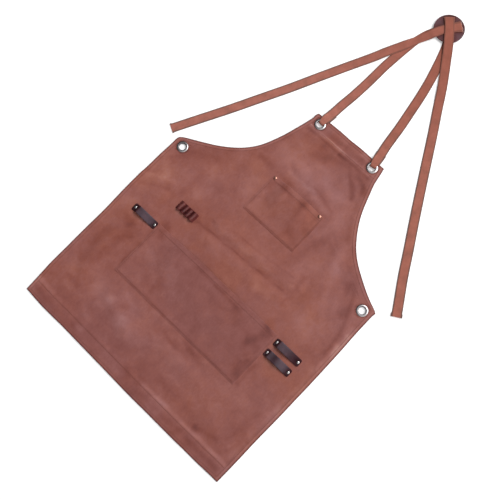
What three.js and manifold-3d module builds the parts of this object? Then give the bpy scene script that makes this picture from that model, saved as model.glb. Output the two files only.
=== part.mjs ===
// A waxed canvas work apron, laid flat with its front up.
// Millimetres. X runs across the apron, Y from the bottom hem to the bib, Z out of the front.
// Heights in the tables are measured from the bottom hem; the last group moves the origin to the
// waist, on the underside of the canvas, on the centreline.

import * as THREE from 'three';
import { mergeVertices } from 'three/addons/utils/BufferGeometryUtils.js';
import Module from 'manifold-3d';

const wasm = await Module();
wasm.setup();

// Clearance between neighbouring pieces
const gap = 0.3;

// Canvas
const cloth = 1.2;
const hemFold = 1.2;
const hemFade = 8;

// Panel outline
const bottomHalf = 341;
const waistHalf = 346;
const sideBow = 4;
const bottomBow = 4;
const bottomBowReach = 150;
const waistHeight = 564;
const waistCornerEase = 3.5;
const bibHalf = 113.5;
const panelHeight = 861;
const armholeLow = new THREE.Vector2(212, 632);
const armholeHigh = new THREE.Vector2(159, 650);
const bottomHem = 40;
const bibHem = 43;
const sideHem = 12;
const armholeFacing = 20;
const cornerPatch = 75;
const originHeight = 546;

// Panel mesh
const skirtStep = 25;
const armholeStep = 19;
const innerColumns = 20;
const cornerRow = 7;

// Grommets
const grommet = { bore: 9.3, barrel: 10.1, hole: 10.5, flange: 15.7, back: 14.8, washer: 1.0, rim: 1.6 };
const grommetCrest = { inner: 11.2, outer: 13.7, roll: 15.1 };
const grommetSides = 20;
const waistGrommets = [
  { name: 'grommet_waist_left', x: -317, y: 548 },
  { name: 'grommet_waist_right', x: 318, y: 546 },
];
const bibGrommets = [
  { name: 'grommet_bib_left', x: -91, y: 840, heading: 86 },
  { name: 'grommet_bib_right', x: 89, y: 842, heading: 100 },
];

// Rivets
const rivet = { shank: 2.0, hole: 2.4, head: 4.0, dome: 1.7, back: 3.6, cap: 0.8 };
const rivetSides = 12;

// Patch pockets: a sewn margin lies flat, the middle gapes at the mouth
const chestPocket = { left: -84, right: 90, bottom: 537, top: 658, margin: 18, gape: 8, mouthHem: 15 };
const waistPocket = { left: -211, right: 210, bottom: 194, top: 358, margin: 22, gape: 9, mouthHem: 14 };
const chestPocketMesh = { columnStep: 14.5, rowStep: 14 };
const waistPocketMesh = { columnStep: 21, rowStep: 16 };
const pocketBase = 16;
const pocketSlope = { across: 0.45, up: 0.75 };
const chestRivets = [
  { name: 'rivet_chest_left', x: -76, y: 652 },
  { name: 'rivet_chest_right', x: 78, y: 653 },
];

// Leather tool loops, riveted at both ends
const toolLoop = { length: 82, width: 23, thickness: 2.2, rivetSpan: 70, flatEnd: 17, rise: 7.5 };
const loopShoulder = 0.45;
const toolLoops = [
  { name: 'tool_loop_left', x: -254, y: 346.5 },
  { name: 'tool_loop_right_upper', x: 254, y: 343 },
  { name: 'tool_loop_right_lower', x: 253, y: 308.5 },
];
const loopStations = 16;

// Leather strip sewn down into pen loops
const penStrip = { left: -213, bottom: 417, width: 26, thickness: 1.8, tab: 4, valley: 3, rise: 9.5 };
const penLoops = [11.5, 11, 11, 11];
const penLoopStations = 8;

// Webbing straps
const strap = { width: 26, thickness: 2 };
const strapThroat = { width: 15, reach: 1.8 };
const foldedEnd = { width: 29, thickness: 3.6 };
const hairpinSteps = 6;

// Leather disc where the straps turn
const disc = { x: -21.3, y: 1279, radius: 42, thickness: 3, sides: 48 };
const slot = { near: 31.5, far: 36.5, length: 29, ease: 1 };
const leftSlotHeading = 47;
const rightSlotHeading = 130;

// Levels of a strap's middle above the floor
const onFloor = strap.thickness / 2;
const onStrap = 1.5 * strap.thickness + gap;
const discUnder = 2 * strap.thickness + 2 * gap;
const onDisc = discUnder + disc.thickness + gap + strap.thickness / 2;
const onCrossing = onDisc + strap.thickness + gap;

// How far the canvas is held off the floor by the metal or webbing behind it
const rivetLift = { rise: rivet.cap + gap, flat: 36, fade: 70 };
const waistLift = { rise: grommet.washer + gap, flat: 55, fade: 95 };
const bibLift = { rise: strap.thickness + gap + grommet.washer + gap, flat: 52, fade: 110 };

// Soft folds of the canvas: a ridge from one point to the other, with its rise and half width
const folds = [
  { name: 'crease below', x0: -110, y0: 410, x1: 150, y1: 432, rise: 3.2, reach: 34 },
  { name: 'crease above', x0: -70, y0: 478, x1: 150, y1: 494, rise: 2.6, reach: 34 },
  { name: 'right flank', x0: 178, y0: 610, x1: 204, y1: 470, rise: 3.6, reach: 38 },
  { name: 'left flank', x0: -284, y0: 280, x1: -276, y1: 150, rise: 3.2, reach: 40 },
  { name: 'left edge', x0: -322, y0: 385, x1: -262, y1: 418, rise: 2.6, reach: 32 },
  { name: 'above chest', x0: -50, y0: 706, x1: 62, y1: 704, rise: 2.8, reach: 36 },
  { name: 'under pocket', x0: 36, y0: 142, x1: 160, y1: 136, rise: 2.8, reach: 36 },
  { name: 'lower left', x0: -168, y0: 138, x1: -70, y1: 104, rise: 3.2, reach: 42 },
  { name: 'corner low', x0: 206, y0: 82, x1: 286, y1: 100, rise: 3.4, reach: 34 },
  { name: 'corner high', x0: 288, y0: 104, x1: 308, y1: 190, rise: 3.2, reach: 32 },
];

// Finishes
const canvasFinish = { color: 0x935c52, roughness: 0.72, metalness: 0 };
const webbingFinish = { color: 0xaa6755, roughness: 0.85, metalness: 0 };
const leatherFinish = { color: 0x3a2a2a, roughness: 0.5, metalness: 0 };
const metalFinish = { color: 0xc9ccd0, roughness: 0.22, metalness: 1 };

// Small helpers

function smooth(edge0, edge1, value) {
  const t = THREE.MathUtils.clamp((value - edge0) / (edge1 - edge0), 0, 1);
  return t * t * (3 - 2 * t);
}

function headingVector(degrees) {
  const angle = THREE.MathUtils.degToRad(degrees);
  return new THREE.Vector2(Math.cos(angle), Math.sin(angle));
}

// Turns the faces of a closed mesh outward
function outward(geometry) {
  const point = geometry.attributes.position;
  const index = geometry.index.array;
  const a = new THREE.Vector3();
  const b = new THREE.Vector3();
  const c = new THREE.Vector3();
  let volume = 0;
  for (let i = 0; i < index.length; i += 3) {
    a.fromBufferAttribute(point, index[i]);
    b.fromBufferAttribute(point, index[i + 1]);
    c.fromBufferAttribute(point, index[i + 2]);
    volume += a.dot(b.cross(c));
  }
  if (volume < 0) {
    for (let i = 0; i < index.length; i += 3) {
      [index[i], index[i + 1]] = [index[i + 1], index[i]];
    }
  }
  return geometry;
}

// One watertight, outward geometry with shared corners
function welded(geometry) {
  const bare = geometry.clone();
  bare.deleteAttribute('normal');
  bare.deleteAttribute('uv');
  return outward(mergeVertices(bare, 1e-4));
}

function fromCorners(corners, triangles) {
  const geometry = new THREE.BufferGeometry();
  geometry.setAttribute('position', new THREE.Float32BufferAttribute(corners, 3));
  geometry.setIndex(triangles);
  return outward(geometry);
}

function toSolid(geometry) {
  const closed = welded(geometry);
  const vertProperties = new Float32Array(closed.attributes.position.array);
  const triVerts = new Uint32Array(closed.index.array);
  return new wasm.Manifold(new wasm.Mesh({ numProp: 3, vertProperties, triVerts }));
}

function toGeometry(solid) {
  const mesh = solid.getMesh();
  const geometry = new THREE.BufferGeometry();
  geometry.setAttribute('position', new THREE.BufferAttribute(mesh.vertProperties, 3));
  geometry.setIndex(new THREE.BufferAttribute(mesh.triVerts, 1));
  return geometry;
}

// Cuts round holes of one radius through a piece
function drilled(geometry, places, radius, sides) {
  const depth = 60;
  let solid = toSolid(geometry);
  for (const place of places) {
    const drill = new THREE.CylinderGeometry(radius, radius, depth, sides);
    drill.rotateX(Math.PI / 2);
    drill.translate(place.x, place.y, 0);
    solid = solid.subtract(toSolid(drill));
  }
  return toGeometry(solid);
}

function turned(profile, sides) {
  const points = profile.map(([radius, height]) => new THREE.Vector2(radius, height));
  const geometry = new THREE.LatheGeometry(points, sides);
  geometry.rotateX(Math.PI / 2);
  return welded(geometry);
}

function piece(name, geometry, finish) {
  geometry.computeVertexNormals();
  const mesh = new THREE.Mesh(geometry, new THREE.MeshStandardMaterial(finish));
  mesh.name = name;
  return mesh;
}

// The panel's outline: half width at a height

const armhole = new THREE.CubicBezierCurve(
  new THREE.Vector2(waistHalf, waistHeight),
  armholeLow,
  armholeHigh,
  new THREE.Vector2(bibHalf, panelHeight),
);

// The armhole climbs all the way, so halving finds the one point at a height
function armholeHalf(y) {
  let low = 0;
  let high = 1;
  for (let i = 0; i < 30; i += 1) {
    const middle = (low + high) / 2;
    if (armhole.getPoint(middle).y < y) {
      low = middle;
    } else {
      high = middle;
    }
  }
  return armhole.getPoint(low).x;
}

function halfWidth(y) {
  if (y > waistHeight) {
    return armholeHalf(y);
  }
  const t = y / waistHeight;
  return THREE.MathUtils.lerp(bottomHalf, waistHalf, t) + sideBow * 4 * t * (1 - t);
}

// Width of the turned edge, measured along X
function edgeBand(y) {
  if (y <= waistHeight) {
    return sideHem;
  }
  const slope = halfWidth(y + 1) - halfWidth(y);
  return armholeFacing * Math.hypot(1, slope);
}

// Where the canvas lies: how high its underside stands, and how thick it is

function plateau(place, lift, x, y) {
  const away = Math.hypot(x - place.x, y - place.y);
  return lift.rise * (1 - smooth(lift.flat, lift.fade, away));
}

function ridge(fold, x, y) {
  const along = new THREE.Vector2(fold.x1 - fold.x0, fold.y1 - fold.y0);
  const from = new THREE.Vector2(x - fold.x0, y - fold.y0);
  const t = THREE.MathUtils.clamp(from.dot(along) / along.lengthSq(), 0, 1);
  const away = from.addScaledVector(along, -t).length();
  return away < fold.reach ? (fold.rise * (1 + Math.cos(Math.PI * away / fold.reach))) / 2 : 0;
}

function loopRivets(loop) {
  const half = toolLoop.rivetSpan / 2;
  return [
    { name: `${loop.name.replace('tool_loop', 'rivet')}_a`, x: loop.x - half, y: loop.y },
    { name: `${loop.name.replace('tool_loop', 'rivet')}_b`, x: loop.x + half, y: loop.y },
  ];
}

const allRivets = [...chestRivets, ...toolLoops.flatMap(loopRivets)];

function underside(x, y) {
  const heights = [0];
  for (const place of allRivets) {
    heights.push(plateau(place, rivetLift, x, y));
  }
  for (const place of waistGrommets) {
    heights.push(plateau(place, waistLift, x, y));
  }
  for (const place of bibGrommets) {
    heights.push(plateau(place, bibLift, x, y));
  }
  for (const fold of folds) {
    heights.push(ridge(fold, x, y));
  }
  return Math.max(...heights);
}

function hemLayer(x, y) {
  const toCorner = Math.hypot(Math.abs(x) - waistHalf, y - waistHeight);
  const band = edgeBand(y);
  return Math.max(
    1 - smooth(bottomHem, bottomHem + hemFade, y),
    smooth(panelHeight - bibHem - hemFade, panelHeight - bibHem, y),
    1 - smooth(band, band + hemFade, halfWidth(y) - Math.abs(x)),
    1 - smooth(cornerPatch, cornerPatch + hemFade, toCorner),
  );
}

function frontFace(x, y) {
  return underside(x, y) + cloth + hemFold * hemLayer(x, y);
}

// A closed sheet on a grid of points, each row the same length

function sheet(rows, under, over) {
  const columns = rows[0].length;
  const corners = [];
  for (const row of rows) {
    for (const [x, y] of row) {
      corners.push(x, y, over(x, y), x, y, under(x, y));
    }
  }
  const top = (r, c) => 2 * (r * columns + c);
  const back = (r, c) => top(r, c) + 1;
  const triangles = [];
  const quad = (a, b, c, d) => triangles.push(a, b, c, a, c, d);
  const lastRow = rows.length - 1;
  const lastColumn = columns - 1;
  for (let r = 0; r < lastRow; r += 1) {
    for (let c = 0; c < lastColumn; c += 1) {
      quad(top(r, c), top(r, c + 1), top(r + 1, c + 1), top(r + 1, c));
      quad(back(r, c), back(r + 1, c), back(r + 1, c + 1), back(r, c + 1));
    }
    quad(back(r, 0), top(r, 0), top(r + 1, 0), back(r + 1, 0));
    quad(top(r, lastColumn), back(r, lastColumn), back(r + 1, lastColumn), top(r + 1, lastColumn));
  }
  for (let c = 0; c < lastColumn; c += 1) {
    quad(top(0, c), back(0, c), back(0, c + 1), top(0, c + 1));
    quad(back(lastRow, c), top(lastRow, c), top(lastRow, c + 1), back(lastRow, c + 1));
  }
  return fromCorners(corners, triangles);
}

function evenSteps(from, to, step) {
  const count = Math.round((to - from) / step);
  return Array.from({ length: count + 1 }, (_, i) => from + ((to - from) * i) / count);
}

// Main panel: hems are a second layer of the same canvas, folded behind

function panelRows() {
  const bibLine = panelHeight - bibHem;
  const heights = [
    0,
    bottomHem,
    ...evenSteps(bottomHem + hemFade, waistHeight - cornerRow, skirtStep),
    waistHeight,
    ...evenSteps(waistHeight + cornerRow, bibLine - hemFade, armholeStep),
    bibLine,
    (bibLine + panelHeight) / 2,
    panelHeight,
  ];
  return heights.map((y) => {
    const half = halfWidth(y) - (y === waistHeight ? waistCornerEase : 0);
    const band = edgeBand(y);
    const inner = half - band - hemFade;
    const across = [-half, band - half];
    for (let c = 0; c <= innerColumns; c += 1) {
      across.push(inner * ((2 * c) / innerColumns - 1));
    }
    across.push(half - band, half);
    const bow = bottomBow * Math.max(0, 1 - y / bottomBowReach);
    return across.map((x) => [x, y + bow * (x / half) ** 2]);
  });
}

function panelGeometry() {
  const flat = sheet(panelRows(), underside, frontFace);
  const eyelets = drilled(flat, [...waistGrommets, ...bibGrommets], grommet.hole, grommetSides);
  return drilled(eyelets, allRivets, rivet.hole, rivetSides);
}

// Patch pockets, open at the top

function pocketGape(pocket, x, y) {
  const side = Math.min(x - pocket.left, pocket.right - x);
  const width = (pocket.right - pocket.left) / 2;
  const across = smooth(pocket.margin, pocket.margin + width * pocketSlope.across, side);
  const full = THREE.MathUtils.lerp(pocket.bottom, pocket.top, pocketSlope.up);
  const up = smooth(pocket.bottom + pocketBase, full, y);
  return pocket.gape * across * up;
}

function pocketGeometry(pocket, { columnStep, rowStep }) {
  const mouthLine = pocket.top - pocket.mouthHem;
  const heights = [
    ...evenSteps(pocket.bottom, mouthLine - hemFade, rowStep),
    mouthLine,
    pocket.top,
  ];
  const across = evenSteps(pocket.left, pocket.right, columnStep);
  const rows = heights.map((y) => across.map((x) => [x, y]));
  const under = (x, y) => frontFace(x, y) + gap + pocketGape(pocket, x, y);
  const hem = (y) => hemFold * smooth(mouthLine - hemFade, mouthLine, y);
  return sheet(rows, under, (x, y) => under(x, y) + cloth + hem(y));
}

// A band of leather seen from its edge: a middle line thickened and extruded to the band's width

function bandGeometry(middle, thickness, width) {
  const upper = [];
  const lower = [];
  middle.forEach((point, i) => {
    const before = middle[Math.max(i - 1, 0)];
    const after = middle[Math.min(i + 1, middle.length - 1)];
    const normal = new THREE.Vector2(before.y - after.y, after.x - before.x).normalize();
    upper.push(point.clone().addScaledVector(normal, thickness / 2));
    lower.push(point.clone().addScaledVector(normal, -thickness / 2));
  });
  const shape = new THREE.Shape([...lower, ...upper.reverse()]);
  const geometry = new THREE.ExtrudeGeometry(shape, { depth: width, bevelEnabled: false, steps: 1 });
  geometry.rotateX(Math.PI / 2);
  geometry.translate(0, width / 2, 0);
  return welded(geometry);
}

function toolLoopGeometry(loop) {
  const half = toolLoop.length / 2;
  const seat = frontFace(loop.x, loop.y) + gap + toolLoop.thickness / 2;
  const archHalf = half - toolLoop.flatEnd;
  const middle = [new THREE.Vector2(-half, seat)];
  for (let i = 0; i <= loopStations; i += 1) {
    const x = archHalf * ((2 * i) / loopStations - 1);
    const rise = toolLoop.rise * (1 - smooth(archHalf * loopShoulder, archHalf, Math.abs(x)));
    middle.push(new THREE.Vector2(x, seat + rise));
  }
  middle.push(new THREE.Vector2(half, seat));
  const band = bandGeometry(middle, toolLoop.thickness, toolLoop.width);
  band.translate(loop.x, loop.y, 0);
  return drilled(band, loopRivets(loop), rivet.hole, rivetSides);
}

function penStripGeometry() {
  const middleY = penStrip.bottom + penStrip.width / 2;
  const seat = frontFace(penStrip.left, middleY) + gap + penStrip.thickness / 2;
  const crown = penStrip.rise - penStrip.thickness;
  const middle = [new THREE.Vector2(penStrip.left, seat)];
  let x = penStrip.left + penStrip.tab;
  for (const span of penLoops) {
    for (let i = 0; i <= penLoopStations; i += 1) {
      const angle = (Math.PI * i) / penLoopStations;
      const along = x + (span * (1 - Math.cos(angle))) / 2;
      middle.push(new THREE.Vector2(along, seat + crown * Math.sin(angle)));
    }
    x += span + penStrip.valley;
  }
  middle.push(new THREE.Vector2(x - penStrip.valley + penStrip.tab, seat));
  const band = bandGeometry(middle, penStrip.thickness, penStrip.width);
  band.translate(0, middleY, 0);
  return band;
}

// Metal fittings

function grommetGeometry(place) {
  const back = underside(place.x, place.y) - gap - grommet.washer;
  const seat = back + grommet.washer;
  const front = frontFace(place.x, place.y) + gap;
  const crest = front + grommet.rim;
  const profile = [
    [grommet.bore, back],
    [grommet.back, back],
    [grommet.back, seat],
    [grommet.barrel, seat],
    [grommet.barrel, front],
    [grommet.flange, front],
    [grommetCrest.roll, (front + crest) / 2],
    [grommetCrest.outer, crest],
    [grommetCrest.inner, crest],
    [grommet.bore, (front + crest) / 2],
    [grommet.bore, back],
  ];
  const geometry = turned(profile, grommetSides);
  geometry.translate(place.x, place.y, 0);
  return geometry;
}

function rivetGeometry(place, seat) {
  const back = underside(place.x, place.y) - gap - rivet.cap;
  const head = seat + gap;
  const profile = [
    [0, back],
    [rivet.back, back],
    [rivet.back, back + rivet.cap],
    [rivet.shank, back + rivet.cap],
    [rivet.shank, head],
    [rivet.head, head],
    [rivet.head, head + 0.3 * rivet.dome],
    [0.7 * rivet.head, head + 0.8 * rivet.dome],
    [0, head + rivet.dome],
  ];
  const geometry = turned(profile, rivetSides);
  geometry.translate(place.x, place.y, 0);
  return geometry;
}

// Straps: a flat ribbon swept through stations; each station has a middle, a heading and a width.
// The heading is the way the ribbon's face runs in plan, and stays the same through a hairpin.

function station(x, y, z, heading, width = strap.width, thickness = strap.thickness) {
  return { middle: new THREE.Vector3(x, y, z), heading, width, thickness };
}

// A half turn in the upright plane along a heading, from a low run to a high one
function hairpin(centre, heading, reach, low, high, width) {
  const way = headingVector(heading);
  const radius = (high - low) / 2;
  const stations = [];
  for (let i = 0; i <= hairpinSteps; i += 1) {
    const angle = Math.PI * (i / hairpinSteps - 0.5);
    const along = reach - radius + radius * Math.cos(angle);
    const z = low + radius + radius * Math.sin(angle);
    stations.push(station(centre.x + way.x * along, centre.y + way.y * along, z, heading, width));
  }
  return stations;
}

function ribbon(stations) {
  const corners = [];
  stations.forEach((here, i) => {
    const before = stations[Math.max(i - 1, 0)].middle;
    const after = stations[Math.min(i + 1, stations.length - 1)].middle;
    const arrive = here.middle.clone().sub(before).normalize();
    const leave = after.clone().sub(here.middle).normalize();
    const tangent = arrive.clone().add(leave).normalize();
    const mitre = 1 / Math.sqrt(Math.max((1 + Math.min(arrive.dot(leave), 1)) / 2, 0.5));
    const stretch = i > 0 && i < stations.length - 1 ? mitre : 1;
    const way = headingVector(here.heading);
    const across = new THREE.Vector3(way.y, -way.x, 0);
    const normal = across.clone().cross(tangent).normalize();
    const side = across.multiplyScalar(here.width / 2);
    const face = normal.multiplyScalar((here.thickness * stretch) / 2);
    for (const [s, f] of [[-1, -1], [1, -1], [1, 1], [-1, 1]]) {
      const corner = here.middle.clone().addScaledVector(side, s).addScaledVector(face, f);
      corners.push(corner.x, corner.y, corner.z);
    }
  });
  const triangles = [];
  const quad = (a, b, c, d) => triangles.push(a, b, c, a, c, d);
  const last = 4 * (stations.length - 1);
  quad(3, 2, 1, 0);
  quad(last, last + 1, last + 2, last + 3);
  for (let base = 0; base < last; base += 4) {
    for (let k = 0; k < 4; k += 1) {
      const next = (k + 1) % 4;
      quad(base + k, base + next, base + 4 + next, base + 4 + k);
    }
  }
  return fromCorners(corners, triangles);
}

// Stations from rows of x, y and level; the heading of each follows its neighbours
function laid(rows, turn) {
  return rows.map((row, i) => {
    const before = rows[Math.max(i - 1, 0)];
    const after = rows[Math.min(i + 1, rows.length - 1)];
    const heading = THREE.MathUtils.radToDeg(Math.atan2(after.y - before.y, after.x - before.x));
    return station(row.x, row.y, row.level, heading + turn, row.width, row.thickness);
  });
}

// The end that is looped through a bib grommet from the back and sewn to itself above the bib.
// Rows give the distance from the grommet's centre, the level of the middle and the width.
function sewnLoop(place) {
  const over = frontFace(place.x, place.y) + gap + grommet.rim + gap + strap.thickness / 2;
  const behind = [
    { along: 47, level: onFloor, width: 27 },
    { along: 24, level: onFloor, width: strap.width },
    { along: 15, level: onFloor, width: 23 },
  ];
  const before = [
    { along: 13, level: over, width: 21 },
    { along: 19, level: over, width: 25 },
    { along: 26, level: over - 1.2, width: strap.width },
    { along: 39, level: onStrap + 0.5, width: strap.width },
    { along: 49, level: onStrap, width: strap.width },
  ];
  const way = headingVector(place.heading);
  const back = place.heading + 180;
  const at = ({ along, level, width }) => (
    station(place.x + way.x * along, place.y + way.y * along, level, back, width)
  );
  const throat = hairpin(place, back, -strapThroat.reach, onFloor, over, strapThroat.width);
  return [...behind.map(at), ...throat, ...before.map(at)];
}

const leftBibRun = [
  { x: -87.0, y: 908, level: onFloor },
  { x: -81.6, y: 967, level: onFloor },
  { x: -78.8, y: 1022, level: onFloor },
  { x: -77.6, y: 1079, level: onFloor },
  { x: -74.5, y: 1122, level: onFloor },
  { x: -70.5, y: 1165, level: onFloor },
  { x: -63.5, y: 1203, level: onFloor, width: 22 },
  { x: -50.5, y: 1237, level: onFloor },
  { x: -37.5, y: 1260, level: onStrap },
  { x: -21.3, y: 1278, level: onStrap },
];

const leftFreeRun = [
  { x: -21.3, y: 1278, level: onDisc },
  { x: -32.5, y: 1262, level: onDisc },
  { x: -43.5, y: 1240, level: onDisc },
  { x: -49.5, y: 1226, level: onStrap + 3, width: 24 },
  { x: -60.0, y: 1203, level: onStrap + 0.6, width: 20 },
  { x: -68.5, y: 1187, level: onStrap, width: 22 },
  { x: -83.0, y: 1155, level: onStrap },
  { x: -104.0, y: 1111.5, level: onStrap },
  { x: -114.5, y: 1087, level: onStrap },
  { x: -138.5, y: 1039.5, level: onFloor },
  { x: -184.9, y: 943.6, level: onFloor },
  { x: -221.6, y: 866, level: onFloor },
  { x: -260.4, y: 789, level: onFloor },
  { x: -299.0, y: 712.5, level: onFloor },
  { x: -338.8, y: 637.4, level: onFloor },
  { x: -372.8, y: 573, level: onFloor },
  { x: -377.0, y: 565, level: onFloor, width: 28 },
];

const rightBibRun = [
  { x: 76.4, y: 910, level: onFloor },
  { x: 67.6, y: 977, level: onFloor },
  { x: 59.3, y: 1027, level: onFloor },
  { x: 50.6, y: 1077, level: onFloor },
  { x: 40.3, y: 1125, level: onFloor },
  { x: 29.0, y: 1167, level: onFloor },
  { x: 17.5, y: 1205, level: onFloor },
  { x: 5.0, y: 1239, level: onFloor },
  { x: -8.5, y: 1261.5, level: onFloor },
  { x: -21.3, y: 1279, level: onFloor },
  { x: -31.8, y: 1291.5, level: onFloor },
];

const rightFreeRun = [
  { x: -31.8, y: 1291.5, level: onCrossing },
  { x: -21.3, y: 1279, level: onCrossing },
  { x: -9.3, y: 1263, level: onCrossing },
  { x: 5.0, y: 1244.5, level: onDisc + 0.4 },
  { x: 18.0, y: 1226.5, level: onStrap + 2.4 },
  { x: 34.5, y: 1201.5, level: onStrap + 0.4 },
  { x: 54.0, y: 1171.5, level: onStrap },
  { x: 73.0, y: 1141, level: onStrap },
  { x: 83.5, y: 1123, level: onStrap },
  { x: 105.6, y: 1084, level: onFloor },
  { x: 143.3, y: 1019, level: onFloor },
  { x: 196.9, y: 923, level: onFloor },
  { x: 232.4, y: 860, level: onFloor },
  { x: 267.2, y: 799, level: onFloor },
  { x: 301.0, y: 741, level: onFloor },
  { x: 335.2, y: 681, level: onFloor },
  { x: 369.2, y: 626, level: onFloor },
  { x: 384.6, y: 601, level: onFloor },
  { x: 385.4, y: 599.6, level: foldedEnd.thickness / 2, ...foldedEnd },
  { x: 390.0, y: 592, level: foldedEnd.thickness / 2, ...foldedEnd },
];

function strapGeometry(place, bibRun, slotHeading, freeRun) {
  const slotReach = slot.near + slot.ease + strap.thickness / 2;
  const turn = hairpin(disc, slotHeading, slotReach, onStrap, onDisc, strap.width);
  return ribbon([
    ...sewnLoop(place),
    ...laid(bibRun, 180),
    ...turn.map((one) => ({ ...one, heading: one.heading + 180 })),
    ...laid(freeRun, 0),
  ]);
}

// The disc, with a slit for each strap near its upper rim

function discGeometry() {
  const outline = new THREE.Shape();
  outline.absarc(0, 0, disc.radius, 0, 2 * Math.PI, false);
  for (const heading of [leftSlotHeading, rightSlotHeading]) {
    const way = headingVector(heading);
    const across = new THREE.Vector2(-way.y, way.x);
    const corner = (reach, s) => (
      way.clone().multiplyScalar(reach).addScaledVector(across, (s * slot.length) / 2)
    );
    const slit = [corner(slot.near, -1), corner(slot.near, 1), corner(slot.far, 1), corner(slot.far, -1)];
    outline.holes.push(new THREE.Path(slit));
  }
  const settings = { depth: disc.thickness, bevelEnabled: false, curveSegments: disc.sides };
  const geometry = new THREE.ExtrudeGeometry(outline, settings);
  geometry.translate(disc.x, disc.y, discUnder);
  return welded(geometry);
}

// Assembly

const pocketTop = (place) => frontFace(place.x, place.y) + gap + cloth + hemFold;
const loopTop = (place) => frontFace(place.x, place.y) + gap + toolLoop.thickness;

const apron = new THREE.Group();
apron.add(piece('canvas_panel', panelGeometry(), canvasFinish));

const chestPatch = pocketGeometry(chestPocket, chestPocketMesh);
const chest = drilled(chestPatch, chestRivets, rivet.hole, rivetSides);
const waistPatch = pocketGeometry(waistPocket, waistPocketMesh);
apron.add(piece('chest_pocket', chest, canvasFinish));
apron.add(piece('waist_pocket', waistPatch, canvasFinish));

for (const loop of toolLoops) {
  apron.add(piece(loop.name, toolLoopGeometry(loop), leatherFinish));
  for (const place of loopRivets(loop)) {
    apron.add(piece(place.name, rivetGeometry(place, loopTop(place)), metalFinish));
  }
}
for (const place of chestRivets) {
  apron.add(piece(place.name, rivetGeometry(place, pocketTop(place)), metalFinish));
}
apron.add(piece('pen_loop_strip', penStripGeometry(), leatherFinish));
for (const place of [...waistGrommets, ...bibGrommets]) {
  apron.add(piece(place.name, grommetGeometry(place), metalFinish));
}

const leftStrap = strapGeometry(bibGrommets[0], leftBibRun, leftSlotHeading, leftFreeRun);
const rightStrap = strapGeometry(bibGrommets[1], rightBibRun, rightSlotHeading, rightFreeRun);
apron.add(piece('strap_left', leftStrap, webbingFinish));
apron.add(piece('strap_right', rightStrap, webbingFinish));
apron.add(piece('strap_disc', discGeometry(), leatherFinish));

apron.position.y = -originHeight;

const model = new THREE.Group();
model.add(apron);

export default model;
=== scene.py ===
import math

import bmesh
import bpy
import numpy as np
from mathutils import Matrix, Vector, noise


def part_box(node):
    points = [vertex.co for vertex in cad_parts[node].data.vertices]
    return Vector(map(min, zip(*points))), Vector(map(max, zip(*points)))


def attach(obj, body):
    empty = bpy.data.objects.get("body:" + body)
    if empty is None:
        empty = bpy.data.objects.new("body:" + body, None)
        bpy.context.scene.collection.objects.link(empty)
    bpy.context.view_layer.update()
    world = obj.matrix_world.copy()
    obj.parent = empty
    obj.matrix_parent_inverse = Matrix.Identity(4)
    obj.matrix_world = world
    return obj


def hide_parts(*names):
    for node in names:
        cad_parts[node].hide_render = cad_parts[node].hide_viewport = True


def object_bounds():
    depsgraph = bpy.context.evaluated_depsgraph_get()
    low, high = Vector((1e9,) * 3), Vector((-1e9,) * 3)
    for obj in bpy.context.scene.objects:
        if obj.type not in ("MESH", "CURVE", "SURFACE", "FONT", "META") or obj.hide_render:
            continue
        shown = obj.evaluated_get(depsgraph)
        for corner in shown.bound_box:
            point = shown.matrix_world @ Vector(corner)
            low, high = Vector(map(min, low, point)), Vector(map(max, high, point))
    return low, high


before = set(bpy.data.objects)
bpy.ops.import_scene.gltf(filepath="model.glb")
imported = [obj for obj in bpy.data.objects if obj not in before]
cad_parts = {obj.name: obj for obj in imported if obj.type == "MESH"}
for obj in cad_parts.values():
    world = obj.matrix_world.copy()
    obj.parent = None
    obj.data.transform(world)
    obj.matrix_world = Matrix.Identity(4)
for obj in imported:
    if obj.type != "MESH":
        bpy.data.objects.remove(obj)        # metres, +Z out of the apron's front, +Y towards the bib
cadLow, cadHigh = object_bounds()

mm = 0.001
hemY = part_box("canvas_panel")[0].y        # tables give millimetres, with heights above the bottom hem


def nodeBox(node):
    low, high = (np.array(corner) / mm - (0, hemY / mm, 0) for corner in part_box(node))
    return low, high


def toFrame(points):
    return np.asarray(points, float) * mm + (0, hemY, 0)


# Shapes of cloth

def ease(low, high, value):
    t = np.clip((value - low) / (high - low), 0, 1)
    return t * t * (3 - 2 * t)


def drift(x, y, size, seed):        # a slow random swell, size is the width of its waves
    spots = zip(np.ravel(x) / size, np.ravel(y) / size)
    return np.reshape([noise.noise((a, b, seed)) for a, b in spots], np.shape(x))


def fromPath(x, y, path):        # distance from a drawn line, and which side of it
    nearest = np.full(np.shape(x), 1e9)
    side = np.zeros(np.shape(x))
    for (ax, ay), (bx, by) in zip(path[:-1], path[1:]):
        dx, dy = bx - ax, by - ay
        t = np.clip(((x - ax) * dx + (y - ay) * dy) / (dx * dx + dy * dy), 0, 1)
        away = np.hypot(x - ax - t * dx, y - ay - t * dy)
        side = np.where(away < nearest, np.sign(dx * (y - ay) - dy * (x - ax)), side)
        nearest = np.minimum(nearest, away)
    return nearest, side


def bell(distance, reach):        # 1 on a line, fading softly to 0 beside it
    return np.exp(-(distance / reach) ** 2)


def fromSpot(x, y, spot):
    return np.hypot(x - spot[0], y - spot[1])


def lengthsAlong(points):        # from the first point to each
    return np.concatenate([[0], np.cumsum(np.linalg.norm(np.diff(points, axis=0), axis=1))])


# strokes stray across and up in coarse and fine waves, the thin ones less, and they vary in strength
stroke = {"coarse": 34, "fine": 13, "across": (9, 5), "up": (7, 4), "fullReach": 14,
          "patches": 40, "variation": 1.1, "faintest": 0.35, "strongest": 1.8}


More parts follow.
